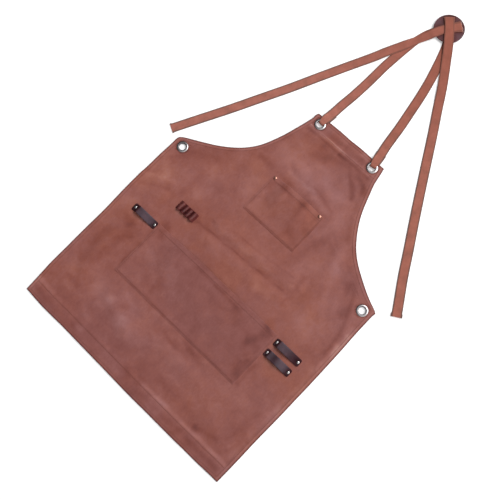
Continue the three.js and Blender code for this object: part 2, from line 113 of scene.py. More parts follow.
def painted(x, y, marks):        # soft strokes with ragged edges, added up
    coarse, fine = stroke["coarse"], stroke["fine"]
    shiftX = stroke["across"][0] * drift(x, y, coarse, 1.7) + stroke["across"][1] * drift(x, y, fine, 6.1)
    shiftY = stroke["up"][0] * drift(x, y, coarse, 4.2) + stroke["up"][1] * drift(x, y, fine, 9.4)
    vigour = 1 + stroke["variation"] * drift(x, y, stroke["patches"], 7.3)
    total = np.zeros(np.shape(x))
    for reach, shade, *path in marks:
        ragged = min(1, reach / stroke["fullReach"])
        away, _ = fromPath(x + ragged * shiftX, y + ragged * shiftY, path)
        total += shade * bell(away, reach)
    return total * np.clip(vigour, stroke["faintest"], stroke["strongest"])


def crowded(low, high, step, lines, offsets):        # even steps, closer together along sewn lines
    close = np.array([line + o for line in lines for o in offsets if low <= line + o <= high])
    even = [v for v in np.arange(low, high, step) if np.abs(close - v).min() > step / 2]
    return np.unique(np.concatenate([close, even]).round(3))


# Pieces

def addObject(name, data):
    added = bpy.data.objects.new(name, data)
    bpy.context.scene.collection.objects.link(added)
    return added


def mark(piece, label, values):        # a number or a vector at each corner, read by the material
    values = np.asarray(values, np.float32)
    kind, field = ("FLOAT", "value") if values.ndim == 1 else ("FLOAT_VECTOR", "vector")
    layer = piece.data.attributes.new(label, kind, "POINT")
    layer.data.foreach_set(field, values.ravel())


def newPiece(name, points, faces, material, attributes=None, creaseAngle=None):
    mesh = bpy.data.meshes.new(name)
    mesh.from_pydata(toFrame(points).tolist(), [], [list(map(int, face)) for face in faces])
    build = bmesh.new()
    build.from_mesh(mesh)
    bmesh.ops.recalc_face_normals(build, faces=build.faces)
    build.to_mesh(mesh)
    build.free()
    mesh.shade_smooth()
    if creaseAngle:
        mesh.set_sharp_from_angle(angle=math.radians(creaseAngle))
    mesh.materials.append(material)
    piece = addObject(name, mesh)
    for label, values in (attributes or {}).items():
        mark(piece, label, values)
    return piece


def spotsOf(piece):        # its corners in the tables' millimetres
    flat = np.empty(3 * len(piece.data.vertices))
    piece.data.vertices.foreach_get("co", flat)
    return flat.reshape(-1, 3) / mm - (0, hemY / mm, 0)


def dress(piece, slot, *nodes):
    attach(piece, "root")
    if nodes:
        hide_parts(*nodes)
    return piece


def sewnSheet(name, x, y, under, thick, rim, material, attributes):
    # a closed sheet whose two faces meet in a round folded edge, rim is the distance from that edge
    rows, columns = x.shape
    bulge = thick / 2 * np.sqrt(1 - (1 - np.clip(2 * rim / thick, 0, 1)) ** 2)
    top = np.stack([x, y, under + thick / 2 + bulge], -1)
    low = np.stack([x, y, under + thick / 2 - bulge], -1)
    front = np.arange(x.size).reshape(rows, columns)
    back = front.copy()
    back[1:-1, 1:-1] = x.size + np.arange((rows - 2) * (columns - 2)).reshape(rows - 2, columns - 2)
    quads = []
    for grid, turn in ((front, 1), (back, -1)):
        ring = np.stack([grid[:-1, :-1], grid[:-1, 1:], grid[1:, 1:], grid[1:, :-1]], -1)
        quads.append(ring.reshape(-1, 4)[:, ::turn])
    points = np.vstack([top.reshape(-1, 3), low[1:-1, 1:-1].reshape(-1, 3)])
    both = {k: np.concatenate([v.ravel(), v[1:-1, 1:-1].ravel()]) for k, v in attributes.items()}
    return newPiece(name, points, np.vstack(quads), material, both)


def turned(name, profile, spot, material, sides=64):        # profile is radius and height
    profile = np.array(profile, float)
    onAxis = profile[:, 0] < 1e-6
    points, rings = [], []
    for (radius, height), single in zip(profile, onAxis):
        count = 1 if single else sides
        rings.append(len(points) + np.arange(count))
        for i in range(count):
            angle = 2 * math.pi * i / sides
            points.append((spot[0] + radius * math.cos(angle), spot[1] + radius * math.sin(angle), height))
    closing = [] if onAxis[0] else [(rings[-1], rings[0])]
    faces = []
    for a, b in list(zip(rings[:-1], rings[1:])) + closing:
        for i in range(sides):
            j = (i + 1) % sides
            corners = [a[i % len(a)], a[j % len(a)], b[j % len(b)], b[i % len(b)]]
            faces.append(list(dict.fromkeys(int(c) for c in corners)))
    return newPiece(name, points, faces, material, creaseAngle=50)


def punch(piece, spots, radius, sides=40):        # round holes, cut square to the floor
    cutter = bmesh.new()
    for x, y in spots:
        place = Matrix.Translation(toFrame((x, y, 0)))
        bmesh.ops.create_cone(cutter, cap_ends=True, segments=sides, radius1=radius * mm,
                              radius2=radius * mm, depth=60 * mm, matrix=place)
    mesh = bpy.data.meshes.new("punch")
    cutter.to_mesh(mesh)
    cutter.free()
    tool = addObject("punch", mesh)
    cut = piece.modifiers.new("holes", "BOOLEAN")
    cut.object = tool
    cut.solver = "EXACT"
    graph = bpy.context.evaluated_depsgraph_get()
    done = bpy.data.meshes.new_from_object(piece.evaluated_get(graph), preserve_all_data_layers=True,
                                           depsgraph=graph)
    piece.modifiers.clear()
    piece.data = done
    bpy.data.objects.remove(tool)
    return piece


# Bands: a rounded section swept along stations of x, y, z, heading, width and thickness

def monotone(at, values, fine):        # a smooth curve through the values that never overshoots
    step = np.diff(at)
    slope = np.diff(values) / step
    tangent = np.zeros(len(at))
    inner = slope[:-1] * slope[1:] > 0
    w1 = 2 * step[1:] + step[:-1]
    w2 = step[1:] + 2 * step[:-1]
    safe = np.where(inner, slope[:-1], 1), np.where(inner, slope[1:], 1)
    tangent[1:-1] = np.where(inner, (w1 + w2) / (w1 / safe[0] + w2 / safe[1]), 0)
    tangent[0], tangent[-1] = slope[0], slope[-1]
    k = np.clip(np.searchsorted(at, fine, side="right") - 1, 0, len(step) - 1)
    t = (fine - at[k]) / step[k]
    return ((2 * t ** 3 - 3 * t ** 2 + 1) * values[k] + (t ** 3 - 2 * t ** 2 + t) * step[k] * tangent[k]
            + (3 * t ** 2 - 2 * t ** 3) * values[k + 1] + (t ** 3 - t ** 2) * step[k] * tangent[k + 1])


def smoothStations(stations, step):
    rows = np.array(stations, float)
    rows[:, 3] = np.unwrap(np.radians(rows[:, 3]))
    at = lengthsAlong(rows[:, :3])
    fine = np.linspace(0, at[-1], int(at[-1] / step) + 1)
    return np.stack([monotone(at, rows[:, k], fine) for k in range(6)], -1)


def section(width, thick, corner, flats):        # points round a band seen end on
    arc = np.radians(np.linspace(-90, 90, 7))
    across = np.linspace(-1, 1, flats)
    a, b = width / 2 - corner, thick / 2 - corner
    low = [(s * a, -thick / 2) for s in across[:-1]]
    right = [(a + corner * math.cos(t), b * np.sign(t) + corner * math.sin(t)) for t in arc]
    high = [(-s * a, thick / 2) for s in across[1:-1]]
    left = [(-u, -v) for u, v in right]
    return np.array(low + right + high + left[:-1])


def bandPiece(name, stations, material, corner, flats=9):
    stations = np.asarray(stations, float)
    middle, heading = stations[:, :3], stations[:, 3]
    tangent = np.gradient(middle, axis=0)
    tangent /= np.linalg.norm(tangent, axis=1)[:, None]
    across = np.stack([np.sin(heading), -np.cos(heading), np.zeros(len(heading))], -1)
    normal = np.cross(across, tangent)
    normal /= np.linalg.norm(normal, axis=1)[:, None]
    along = lengthsAlong(middle)
    points, cloth = [], []
    for i, (_, _, _, _, width, thick) in enumerate(stations):
        for u, v in section(width, thick, min(corner, thick * 0.49), flats):
            points.append(middle[i] + across[i] * u + normal[i] * v)
            cloth.append((u * mm, along[i] * mm, v * mm))
    ringSize = len(points) // len(stations)
    faces = []
    for i in range(len(stations) - 1):
        for j in range(ringSize):
            k = (j + 1) % ringSize
            faces.append((i * ringSize + j, i * ringSize + k, (i + 1) * ringSize + k, (i + 1) * ringSize + j))
    last = (len(stations) - 1) * ringSize
    faces.append(range(ringSize - 1, -1, -1))
    faces.append(range(last, last + ringSize))
    return newPiece(name, points, faces, material, {"cloth": cloth}, creaseAngle=60)


# Stitches: short threads that dip into the cloth at both ends

thread = {"pitch": 3.6, "length": 2.9, "width": 0.85, "proud": 0.25, "sides": 6}


def stitchesAlong(path):        # x and y of both ends of each stitch
    path = np.array(path, float)
    at = lengthsAlong(path)
    middle = np.arange(thread["pitch"] / 2, at[-1], thread["pitch"])
    ends = [middle - thread["length"] / 2, middle + thread["length"] / 2]
    return list(zip(*[np.interp(end, at, path[:, k]) for end in ends for k in (0, 1)]))


def stitchPiece(name, stitches, surface, material, moved=None):
    ends = np.array(stitches, float)
    share = np.array([0.0, 0.12, 0.5, 0.88, 1.0])
    girth = np.array([0.35, 0.85, 1.0, 0.85, 0.35])
    rise = np.array([-0.9, 0.0, 0.35, 0.0, -0.9])
    x = ends[:, :1] + (ends[:, 2:3] - ends[:, :1]) * share
    y = ends[:, 1:2] + (ends[:, 3:] - ends[:, 1:2]) * share
    z = surface(x, y) + thread["proud"] * rise + thread["proud"]
    if moved:
        x, y = moved(x, y)
    way = np.stack([ends[:, 2] - ends[:, 0], ends[:, 3] - ends[:, 1]], -1)
    way /= np.linalg.norm(way, axis=1)[:, None]
    sides = thread["sides"]
    points = []
    for k in range(sides):
        angle = 2 * math.pi * k / sides
        out = thread["width"] / 2 * girth * math.cos(angle)
        up = thread["width"] / 2 * girth * math.sin(angle)
        points.append(np.stack([x - way[:, 1:] * out, y + way[:, :1] * out, z + up], -1))
    points = np.stack(points, 2)        # stitch, ring, side
    rings = len(share)
    one = []
    for r in range(rings - 1):
        for k in range(sides):
            n = (k + 1) % sides
            one.append((r * sides + k, r * sides + n, (r + 1) * sides + n, (r + 1) * sides + k))
    caps = [list(range(sides)), list(range((rings - 1) * sides, rings * sides))]
    faces = []
    for s in range(len(ends)):
        base = s * rings * sides
        faces += [[base + c for c in face] for face in one + caps]
    return newPiece(name, points.reshape(-1, 3), faces, material)


# Materials

def toLinear(hexColour):
    channels = [int(hexColour[i:i + 2], 16) / 255 for i in (0, 2, 4)]
    return [c / 12.92 if c <= 0.04045 else ((c + 0.055) / 1.055) ** 2.4 for c in channels] + [1.0]


def addNode(tree, kind, links=None, stops=None, **settings):
    node = tree.nodes.new(kind)
    for name, value in settings.items():
        setattr(node, name, value)
    for socket, value in (links or {}).items():
        if isinstance(value, bpy.types.NodeSocket):
            tree.links.new(value, node.inputs[socket])
        else:
            node.inputs[socket].default_value = value
    if stops:
        ramp = node.color_ramp
        ramp.elements[0].position, ramp.elements[1].position = stops[0][0], stops[-1][0]
        ramp.elements[0].color, ramp.elements[-1].color = toLinear(stops[0][1]), toLinear(stops[-1][1])
        for position, colour in stops[1:-1]:
            ramp.elements.new(position).color = toLinear(colour)
    return node


def newMaterial(name, sockets):
    material = bpy.data.materials.new(name)
    material.use_nodes = True
    shader = material.node_tree.nodes["Principled BSDF"]
    for socket, value in sockets.items():
        shader.inputs[socket].default_value = value
    return material, material.node_tree, shader


# Small builders of nodes, each giving the socket to read. Sizes are in millimetres.

def marked(tree, label, output="Fac"):
    return addNode(tree, "ShaderNodeAttribute", attribute_name=label).outputs[output]


def placeIn(tree, **mapping):
    place = addNode(tree, "ShaderNodeTexCoord").outputs["Object"]
    return addNode(tree, "ShaderNodeMapping", {"Vector": place, **mapping}).outputs[0] if mapping else place


def mottled(tree, place, size, detail, roughness, distortion=0.0):
    blots = addNode(tree, "ShaderNodeTexNoise", {"Vector": place, "Scale": 1 / (size * mm), "Detail": detail,
                                                 "Roughness": roughness, "Distortion": distortion})
    return blots.outputs["Fac"]


def stripes(tree, place, period, direction, distortion, detail):
    scale = math.pi / 10 / (period * mm)        # at scale 1 a wave is pi / 10 long
    waves = addNode(tree, "ShaderNodeTexWave", {"Vector": place, "Scale": scale, "Distortion": distortion,
                                                "Detail": detail}, bands_direction=direction)
    return waves.outputs["Fac"]


def worked(tree, operation, *values):
    return addNode(tree, "ShaderNodeMath", dict(enumerate(values)), operation=operation).outputs[0]


def ranged(tree, value, span, results):
    return addNode(tree, "ShaderNodeMapRange", dict(enumerate((value, *span, *results)))).outputs[0]


def toned(tree, value, stops):
    return addNode(tree, "ShaderNodeValToRGB", {"Fac": value}, stops).outputs["Color"]


def mixed(tree, share, first, second, blend="MIX"):
    return addNode(tree, "ShaderNodeMix", {0: share, 6: first, 7: second}, data_type="RGBA",
                   blend_type=blend).outputs[2]


def raised(tree, height, strength, depth):
    bump = addNode(tree, "ShaderNodeBump", {"Height": height, "Strength": strength, "Distance": depth * mm})
    return bump.outputs[0]


def wire(tree, shader, sockets):
    for socket, value in sockets.items():
        tree.links.new(value, shader.inputs[socket])


def waxedCanvas():
    # Cotton duck, woven plain and rubbed with wax: cloudy where the wax has moved under the hand, a dull low
    # sheen, darker and paler strokes of rubbed wax with painted shade and painted highlight along creases,
    # hems and edges, and the over and under of the yarn.
    material, tree, shader = newMaterial("waxedCanvas", {"Specular IOR Level": 0.35, "Sheen Weight": 0.08})
    place = placeIn(tree)
    cloud = mottled(tree, place, 95, 4, 0.55, 0.6)
    patch = mottled(tree, place, 30, 6, 0.68, 0.5)
    slub = mottled(tree, placeIn(tree, Scale=(1, 0.45, 1)), 3.5, 3, 0.6)
    level = 0.01        # so that the parts below come to about 0.5 on the plain cloth
    for part, share in ((cloud, 0.36), (patch, 0.42), (slub, 0.2), (marked(tree, "shade"), 0.5)):
        level = worked(tree, "MULTIPLY_ADD", part, share, level)
    # base colour: wax tone together with the painted shade and highlight carried by the shade attribute
    waxAndShade = toned(tree, level, [(0, "602d27"), (0.3, "7d443b"), (0.5, "8b534b"), (0.7, "99635c"),
                              (1, "ae7f78")])
    # hue drifts from a redder tan to a greyer plum
    hueLevel = mottled(tree, placeIn(tree, Location=(3.1, 1.7, 0)), 130, 3, 0.5)
    hueLevel = worked(tree, "ADD", hueLevel, -0.25)
    for part, share in ((mottled(tree, place, 11, 2, 0.5), 0.5), (marked(tree, "warmth"), 0.4)):
        hueLevel = worked(tree, "MULTIPLY_ADD", part, share, hueLevel)
    hue = toned(tree, hueLevel, [(0.2, "f6f5fc"), (0.5, "fffaf7"), (0.8, "fff1de")])
    # plain weave: yarns 0.9 mm apart on the cloth, drawn at 1.8 mm so that they show
    warp, weft = (stripes(tree, place, 1.8, direction, 0.4, 1) for direction in "XY")
    grain = worked(tree, "MULTIPLY_ADD", slub, 0.8, worked(tree, "MULTIPLY", warp, weft))
    wire(tree, shader, {"Base Color": mixed(tree, 1.0, waxAndShade, hue, "MULTIPLY"),
                        "Roughness": ranged(tree, patch, (0.3, 0.7), (0.56, 0.74)),
                        "Normal": raised(tree, grain, 0.35, 0.3)})
    return material


def fromMiddle(tree, cloth):        # distance from the middle line of a band
    return worked(tree, "ABSOLUTE", addNode(tree, "ShaderNodeSeparateXYZ", {0: cloth}).outputs["X"])


def cottonWebbing(name, tones):
    # Flat cotton webbing, dyed to match: fine ribs across it, close darker selvages, quite matt, and browner
    # towards the disc.
    material, tree, shader = newMaterial(name, {"Roughness": 0.82, "Specular IOR Level": 0.2,
                                                "Sheen Weight": 0.12})
    cloth = marked(tree, "cloth", "Vector")
    ribs = stripes(tree, cloth, 2.2, "Y", 0.8, 2)
    ends = stripes(tree, cloth, 1.7, "X", 0.3, 1)
    weave = worked(tree, "MULTIPLY", ribs, ends)
    tone = worked(tree, "MULTIPLY_ADD", weave, 0.25, mottled(tree, cloth, 28, 4, 0.6))
    selvage = ranged(tree, fromMiddle(tree, cloth), (8.8 * mm, 11.2 * mm), (0.0, 0.62))
    undarkened = toned(tree, worked(tree, "SUBTRACT", tone, selvage), list(zip((0, 0.3, 0.55, 1), tones)))
    wire(tree, shader, {"Base Color": mixed(tree, marked(tree, "darkeningAndShadow"), undarkened, toLinear("864736")),
                        "Normal": raised(tree, weave, 0.5, 0.4)})
    return material


def oiledLeather(name, tones, tint, specular, gloss):
    # Vegetable tanned cowhide, dyed dark brown and oiled: fine pebble grain, a gloss where hands and tools
    # have polished it, duller along the cut edges, and a dark red painted shadow beside the straps on the
    # disc.
    material, tree, shader = newMaterial(name, {"Specular Tint": toLinear(tint)})
    inside = ranged(tree, fromMiddle(tree, marked(tree, "cloth", "Vector")), (7 * mm, 10.5 * mm), (1.0, 0.2))
    worn = worked(tree, "MULTIPLY", marked(tree, "polish"), inside)
    place = placeIn(tree)
    tone = mottled(tree, place, 14, 5, 0.6)
    hide = toned(tree, tone, list(zip((0.25, 0.5, 0.75), tones)))
    # pebbles are 0.6 mm on the hide, drawn at 1.3 mm
    pebble = addNode(tree, "ShaderNodeTexVoronoi", {"Vector": place, "Scale": 1 / (1.3 * mm)},
                     feature="DISTANCE_TO_EDGE").outputs["Distance"]
    # dark red painted shadow where a piece carries it: on the disc beside the straps
    wire(tree, shader, {"Base Color": mixed(tree, marked(tree, "darkeningAndShadow"), hide, toLinear("470c0e")),
                        "Roughness": ranged(tree, tone, (0.3, 0.7), gloss),
                        "Specular IOR Level": ranged(tree, worn, (0.0, 1.0), specular),
                        "Normal": raised(tree, pebble, 0.3, 0.25)})
    return material


def platedMetal(name, creviceShade, colour, gloss):
    # Brass stampings, plated and tumbled: bright, with a light haze of handling marks, and painted shade in
    # the bore of a grommet and round the foot of a rivet's head.
    material, tree, shader = newMaterial(name, {"Metallic": 1.0})
    haze = mottled(tree, placeIn(tree), 2.4, 4, 0.65)
    wire(tree, shader, {"Base Color": toned(tree, marked(tree, "undarkened"), [(0.3, creviceShade), (0.6, colour)]),
                        "Roughness": ranged(tree, haze, (0.3, 0.7), gloss),
                        "Normal": raised(tree, haze, 0.12, 0.1)})
    return material


def polyesterThread():
    # Twisted thread a little darker than the cloth, with the ply showing as fine slanting bands.
    material, tree, shader = newMaterial("polyesterThread", {"Roughness": 0.6, "Specular IOR Level": 0.3})
    ply = stripes(tree, placeIn(tree), 0.7, "DIAGONAL", 0.2, 2)
    wire(tree, shader, {"Base Color": toned(tree, ply, [(0, "66392f"), (1, "865045")]),
                        "Normal": raised(tree, ply, 0.4, 0.1)})
    return material


canvas = waxedCanvas()
webbing = {
    "strap_left": cottonWebbing("cottonWebbingPaler", ("6e4e46", "89594b", "a26355", "b37364")),
    "strap_right": cottonWebbing("cottonWebbing", ("6a4b43", "845547", "9c5d4e", "ad6e5d")),
}
leather = oiledLeather("oiledLeather", ("260f11", "351a1d", "46252a"), "e6dff2", (0.1, 0.9), (0.4, 0.54))
discLeather = oiledLeather("discLeather", ("432329", "522c33", "66393f"), "ffffff", (0.3, 0.3), (0.45, 0.6))
penLeather = oiledLeather("penLeather", ("38161a", "5a2a29", "7a423e"), "ffe6e0", (0.05, 0.6), (0.2, 0.32))
# the first colour of each is painted shade in a grommet's bore and round the foot of a rivet's head
nickel = platedMetal("nickelPlate", "595254", "b3aeae", (0.16, 0.3))
rivetNickel = platedMetal("rivetNickel", "2c1e1d", "b2aeac", (0.12, 0.25))
rivetCopper = platedMetal("rivetCopper", "7d4c40", "c4907e", (0.3, 0.45))
yarn = polyesterThread()
print("materials: canvas, webbing, leather, nickel, thread")


# Canvas panel: bib and skirt in one, hems folded behind

panel = {
    "bottomHalf": 341, "waistHalf": 346, "sideBow": 4, "bottomBow": 4, "bowReach": 150, "waist": 564,
    "cornerEase": 3.5, "cornerReach": 5, "bibHalf": 113.5, "top": 861, "armholeLow": (212, 632),
    "armholeHigh": (159, 650), "leanEase": 12, "cloth": 1.2, "hem": 1.2, "hemFade": 7, "bottomHem": 39,
    "bibHem": 43, "sideHem": 13, "armholeHem": 20, "armholeFade": 16, "sleeveEase": 6, "columns": 150,
    "rowStep": 4.3, "edgeSeam": 9.5, "bottomSeam": 8.5, "hemSeam": 36.5, "bibSeam": 822, "topSeam": 852,
    "seamDepth": 0.12, "seamWidth": 1.7, "seamShade": -0.06,
}
levelSeams = ("bottomSeam", "hemSeam", "bibSeam", "topSeam")
rimSteps = np.array([0, 0.15, 0.5, 1.2, 2.2, 4, 6.5, 8.3, 9.5, 10.7, 13, 16, 20])
endSteps = 5        # so many of them at the bottom and the top too
seamSteps = np.array([-6, -3.5, -1.7, 0, 1.7, 3.5, 6])

# inner edge of the second layer at each waist corner: half width at a height, and where it fades in and out
facingLeft = {"height": [470, 488, 530, 555, 590, 606, 625], "half": [346, 335, 300, 285, 265, 245, 212]}
facingRight = {"height": [350, 372, 420, 470, 520, 570, 604, 625],
               "half": [344, 327, 325, 318, 300, 275, 252, 222]}
facingSpan = {"in": (340, 352), "out": (626, 640)}

# where metal or webbing behind holds the cloth off the floor
rivetNodes = ["rivet_chest_left", "rivet_chest_right", "rivet_left_a", "rivet_left_b", "rivet_right_upper_a",
              "rivet_right_upper_b", "rivet_right_lower_a", "rivet_right_lower_b"]
waistGrommets = ["grommet_waist_left", "grommet_waist_right"]
bibGrommets = ["grommet_bib_left", "grommet_bib_right"]
lifts = [
    {"nodes": rivetNodes, "rise": 1.1, "flat": 36, "fade": 70},
    {"nodes": waistGrommets, "rise": 1.3, "flat": 55, "fade": 95},
    {"nodes": bibGrommets, "rise": 3.6, "flat": 52, "fade": 110},
]
holes = {"grommet": 10.5, "rivet": 2.3, "rivetSides": 24}
swells = [(0.9, 95, 2.1), (0.45, 31, 5.3)]        # height, width of the waves, seed

# soft ridges: left and right are their reach on each side of the drawn line
folds = [
    {"path": [(-110, 412), (20, 418), (150, 430)], "rise": 2.2, "left": 28, "right": 40},
    {"path": [(-90, 458), (30, 463), (150, 474)], "rise": 2.6, "left": 50, "right": 22},
    {"path": [(176, 620), (196, 540), (206, 465)], "rise": 1.8, "left": 40, "right": 34},
    {"path": [(-286, 285), (-280, 215), (-276, 150)], "rise": 1.6, "left": 44, "right": 30},
    {"path": [(-324, 384), (-262, 418)], "rise": 2.2, "left": 24, "right": 24},
    {"path": [(-340, 418), (-268, 452)], "rise": 1.8, "left": 24, "right": 20},
    {"path": [(-50, 704), (62, 698)], "rise": 2.2, "left": 36, "right": 22},
    {"path": [(36, 142), (160, 136)], "rise": 2.2, "left": 36, "right": 34},
    {"path": [(-168, 138), (-70, 104)], "rise": 2.4, "left": 44, "right": 36},
    {"path": [(206, 80), (270, 92), (300, 128), (310, 195)], "rise": 1.2, "left": 34, "right": 26},
]

# soft strokes of rubbed wax, painted shade and painted highlight, each: its reach, its shade, below 0
# darker, and the points of its line
# painted shade in the creases and on the shaded sides of folds, painted highlight on their lit sides
creaseLightAndShade = [
    (6, -0.24, (-150, 429), (-60, 434), (20, 438), (90, 443), (150, 448)),
    (2.6, -0.28, (-140, 431), (-50, 436), (40, 441), (140, 449)),
    (7, 0.2, (-100, 452), (20, 458), (100, 464), (150, 468)),
    (2.6, -0.2, (-60, 474), (40, 480), (140, 490)),
    (11, -0.6, (56, 811), (96, 801), (121, 776)),
    (8, -0.4, (40, 806), (62, 788), (88, 766), (106, 746)),
    (10, -0.3, (-40, 797), (-14, 795)),
    (8, 0.36, (337, 470), (337, 415)),
    (12, 0.34, (-335, 498), (-311, 476), (-295, 470)),
    (9, -0.28, (200, 648), (214, 630)),
    (4, -0.18, (15, 702), (60, 692), (90, 683)),
    (7, 0.22, (-60, 690), (20, 688), (85, 670)),
    (13, 0.28, (175, 640), (195, 590), (215, 540), (225, 500)),
    (9, -0.28, (157, 508), (164, 425)),
    (7, 0.16, (-340, 430), (-260, 470)),
    (5, -0.2, (-335, 402), (-260, 440)),
    (6, 0.16, (-330, 378), (-270, 410)),
    (12, -0.2, (-270, 310), (-300, 260), (-305, 200), (-290, 160)),
    (9, -0.15, (305, 180), (300, 130), (285, 95), (250, 65), (215, 55)),
    (7, 0.14, (322, 150), (312, 90), (290, 62)),
]
# rubbed wax, paler and darker, with painted shade beside folds and facings, and painted light on the cloth
# beneath the tool loops and the pen strip
rubbedLitAndShaded = [
    (9, 0.32, (212, 334), (226, 328)),
    (9, -0.28, (-153, 442), (-152, 428)),
    (10, -0.22, (-252, 255), (-248, 238)),
    (14, -0.24, (246, 82), (262, 70)),
    (9, -0.2, (316, 130), (318, 105)),
    (7, 0.3, (-285, 331), (-258, 331)),
    (7, 0.36, (232, 296), (260, 296)),
    (7, 0.34, (-207, 412), (-168, 412)),
    (9, -0.2, (-262, 366), (-240, 366)),
    (13, -0.2, (-165, 630), (-135, 560)),
    (7, -0.34, (-275, 44), (-245, 44)),
    (7, -0.24, (215, 305), (217, 205)),
    (12, -0.16, (186, 392), (190, 364)),
    (9, -0.3, (-341, 440), (-341, 425)),
    (14, -0.22, (264, 142), (276, 126)),
    (12, 0.28, (50, 30), (60, 26)),
    (10, 0.3, (-335, 45), (-333, 15)),
    (12, 0.18, (-185, 68), (-175, 62)),
    (12, 0.15, (118, 74), (182, 118)),
    (10, 0.14, (10, 402), (100, 404)),
    (9, 0.3, (331, 60), (334, 200), (335, 350), (336, 495)),
    (9, -0.14, (316, 408), (317, 372)),
    (9, 0.25, (322, 350), (322, 335)),
    (16, -0.16, (30, 512), (95, 500)),
    (10, -0.22, (20, 715), (62, 690)),
    (11, -0.2, (-205, 362), (-185, 366)),
    (16, 0.22, (-325, 345), (-300, 355)),
    (11, -0.32, (-238, 312), (-218, 312)),
    (13, 0.24, (-100, 96), (-80, 94)),
    (15, 0.2, (-135, 168), (-110, 160)),
    (14, -0.26, (5, 26), (32, 28)),
    (13, -0.26, (292, 66), (302, 54)),
    (11, 0.14, (-100, 398), (-10, 397)),
    (12, -0.22, (-150, 695), (-130, 755)),
    (14, -0.22, (-215, 628), (-172, 664)),
    (12, -0.24, (172, 640), (180, 628)),
    (12, 0.26, (80, 815), (104, 806)),
    (12, -0.18, (286, 394), (296, 388)),
    (34, 0.24, (-325, 415), (-270, 470)),
    (20, -0.26, (-290, 540), (-225, 595)),
    (13, -0.34, (252, 568), (290, 505)),
    (13, -0.24, (-262, 270), (-264, 180)),
    (17, 0.28, (-302, 130), (-268, 82)),
    (9, -0.26, (30, 172), (90, 158)),
    (15, -0.5, (190, 15), (222, 16)),
    (16, 0.3, (90, 24), (120, 24)),
    (14, -0.26, (-105, 797), (-30, 795)),
    (17, 0.32, (118, 690), (122, 640)),
    (14, -0.3, (212, 520), (220, 500)),
    (13, -0.26, (-195, 368), (-180, 352)),
    (14, 0.2, (50, 772), (66, 768)),
    (16, 0.2, (215, 125), (232, 118)),
    (14, 0.2, (90, 412), (115, 415)),
    (14, -0.35, (40, 808), (0, 795), (-40, 765)),
    (36, 0.24, (-100, 722), (-20, 735), (80, 715)),
    (16, -0.24, (130, 640), (120, 590), (105, 530)),
    (15, 0.22, (-205, 560), (-190, 480)),
    (9, -0.24, (-226, 520), (-228, 455)),
    (16, 0.18, (-108, 615), (-105, 575)),
    (13, 0.16, (-100, 415), (0, 412), (90, 418)),
    (22, 0.2, (230, 430), (260, 415)),
    (15, -0.28, (-275, 310), (-245, 285)),
    (6, -0.2, (-215, 330), (-214, 240), (-205, 195)),
    (10, -0.34, (50, 194), (75, 180), (100, 180)),
    (6, -0.26, (-10, 170), (20, 163), (50, 160)),
    (22, 0.3, (-190, 138), (-165, 132)),
    (20, 0.14, (-200, 134), (-120, 131), (-50, 131)),
    (6, -0.18, (74, 187), (84, 182)),
    (8, -0.3, (-12, 44), (8, 38)),
    (9, 0.2, (-178, 26), (-160, 26)),
    (7, -0.22, (210, 58), (224, 60)),
    (7, -0.22, (255, 68), (268, 70)),
    (26, 0.34, (-105, 122), (-75, 110)),
    (26, 0.12, (-60, 152), (40, 140), (150, 130)),
    (24, -0.34, (15, 50), (30, 15)),
    (12, -0.24, (70, 75), (130, 80)),
    (9, -0.28, (-285, 100), (-250, 100)),
    (26, -0.12, (-330, 65), (200, 65)),
]
# painted highlight on the ridges of the bib and bottom hems, painted shade beside them and above the chest
# pocket's mouth, and the darker tone of the bottom hem band
hemToneLightAndShade = [
    (2.9, 0.58, (-110, 823), (95, 823)),
    (4, -0.25, (-108, 812), (108, 812)),
    (4, -0.25, (0, 813), (100, 813)),
    (9, -0.34, (-75, 835), (60, 835)),
    (8, 0.3, (50, 851), (62, 850)),
    (8, -0.26, (-150, 672), (-80, 668), (85, 662)),
    (6, 0.32, (50, 44), (330, 44)),
    (6, 0.26, (-338, 44), (-250, 44)),
    (4, -0.1, (-240, 40), (0, 40)),
    (9, -0.34, (-328, 22), (-190, 22)),
    (9, -0.32, (60, 22), (190, 24)),
    (9, -0.36, (230, 22), (315, 22)),
]
# where the cloth is redder, or below 0 greyer
panelWarmth = [
    (60, 0.6, (-300, 470), (-290, 260)),
    (40, 0.4, (-100, 392), (60, 385)),
    (40, 0.5, (220, 450), (320, 455)),
    (40, 0.5, (-290, 110), (-210, 120)),
    (42, -1.0, (-80, 140), (-35, 130)),
    (40, -0.7, (190, 575), (270, 580)),
    (36, -0.5, (235, 90), (262, 90)),
    (40, 0.5, (215, 300), (290, 285)),
    (14, 0.6, (238, 302), (258, 302)),
    (14, -0.9, (-84, 826), (-66, 842)),
    (30, 0.5, (55, 530), (80, 525)),
    (30, 0.4, (-90, 375), (170, 372)),
    (18, -0.6, (212, 428), (220, 420)),
    (20, 0.7, (-50, 668), (-36, 662)),
    (28, 0.45, (-155, 470), (-140, 440)),
    (18, 0.8, (180, 360), (225, 300), (250, 295)),
    (14, 0.8, (-290, 336), (-270, 330)),
    (22, -0.6, (-60, 125), (-30, 170)),
    (34, -0.5, (-330, 130), (-300, 110)),
    (45, 0.4, (0, 400), (100, 430)),
    (45, 0.4, (-200, 610), (-130, 640)),
    (30, 0.3, (-70, 795), (-40, 795)),
    (50, -0.45, (100, 770), (20, 710)),
    (40, 0.2, (160, 440), (260, 440)),
    (60, -0.45, (-170, 120), (-60, 80)),
    (36, 0.3, (90, 80), (160, 85)),
    (26, -0.5, (-330, 18), (330, 18)),
    (40, -0.25, (270, 520), (300, 460)),
]
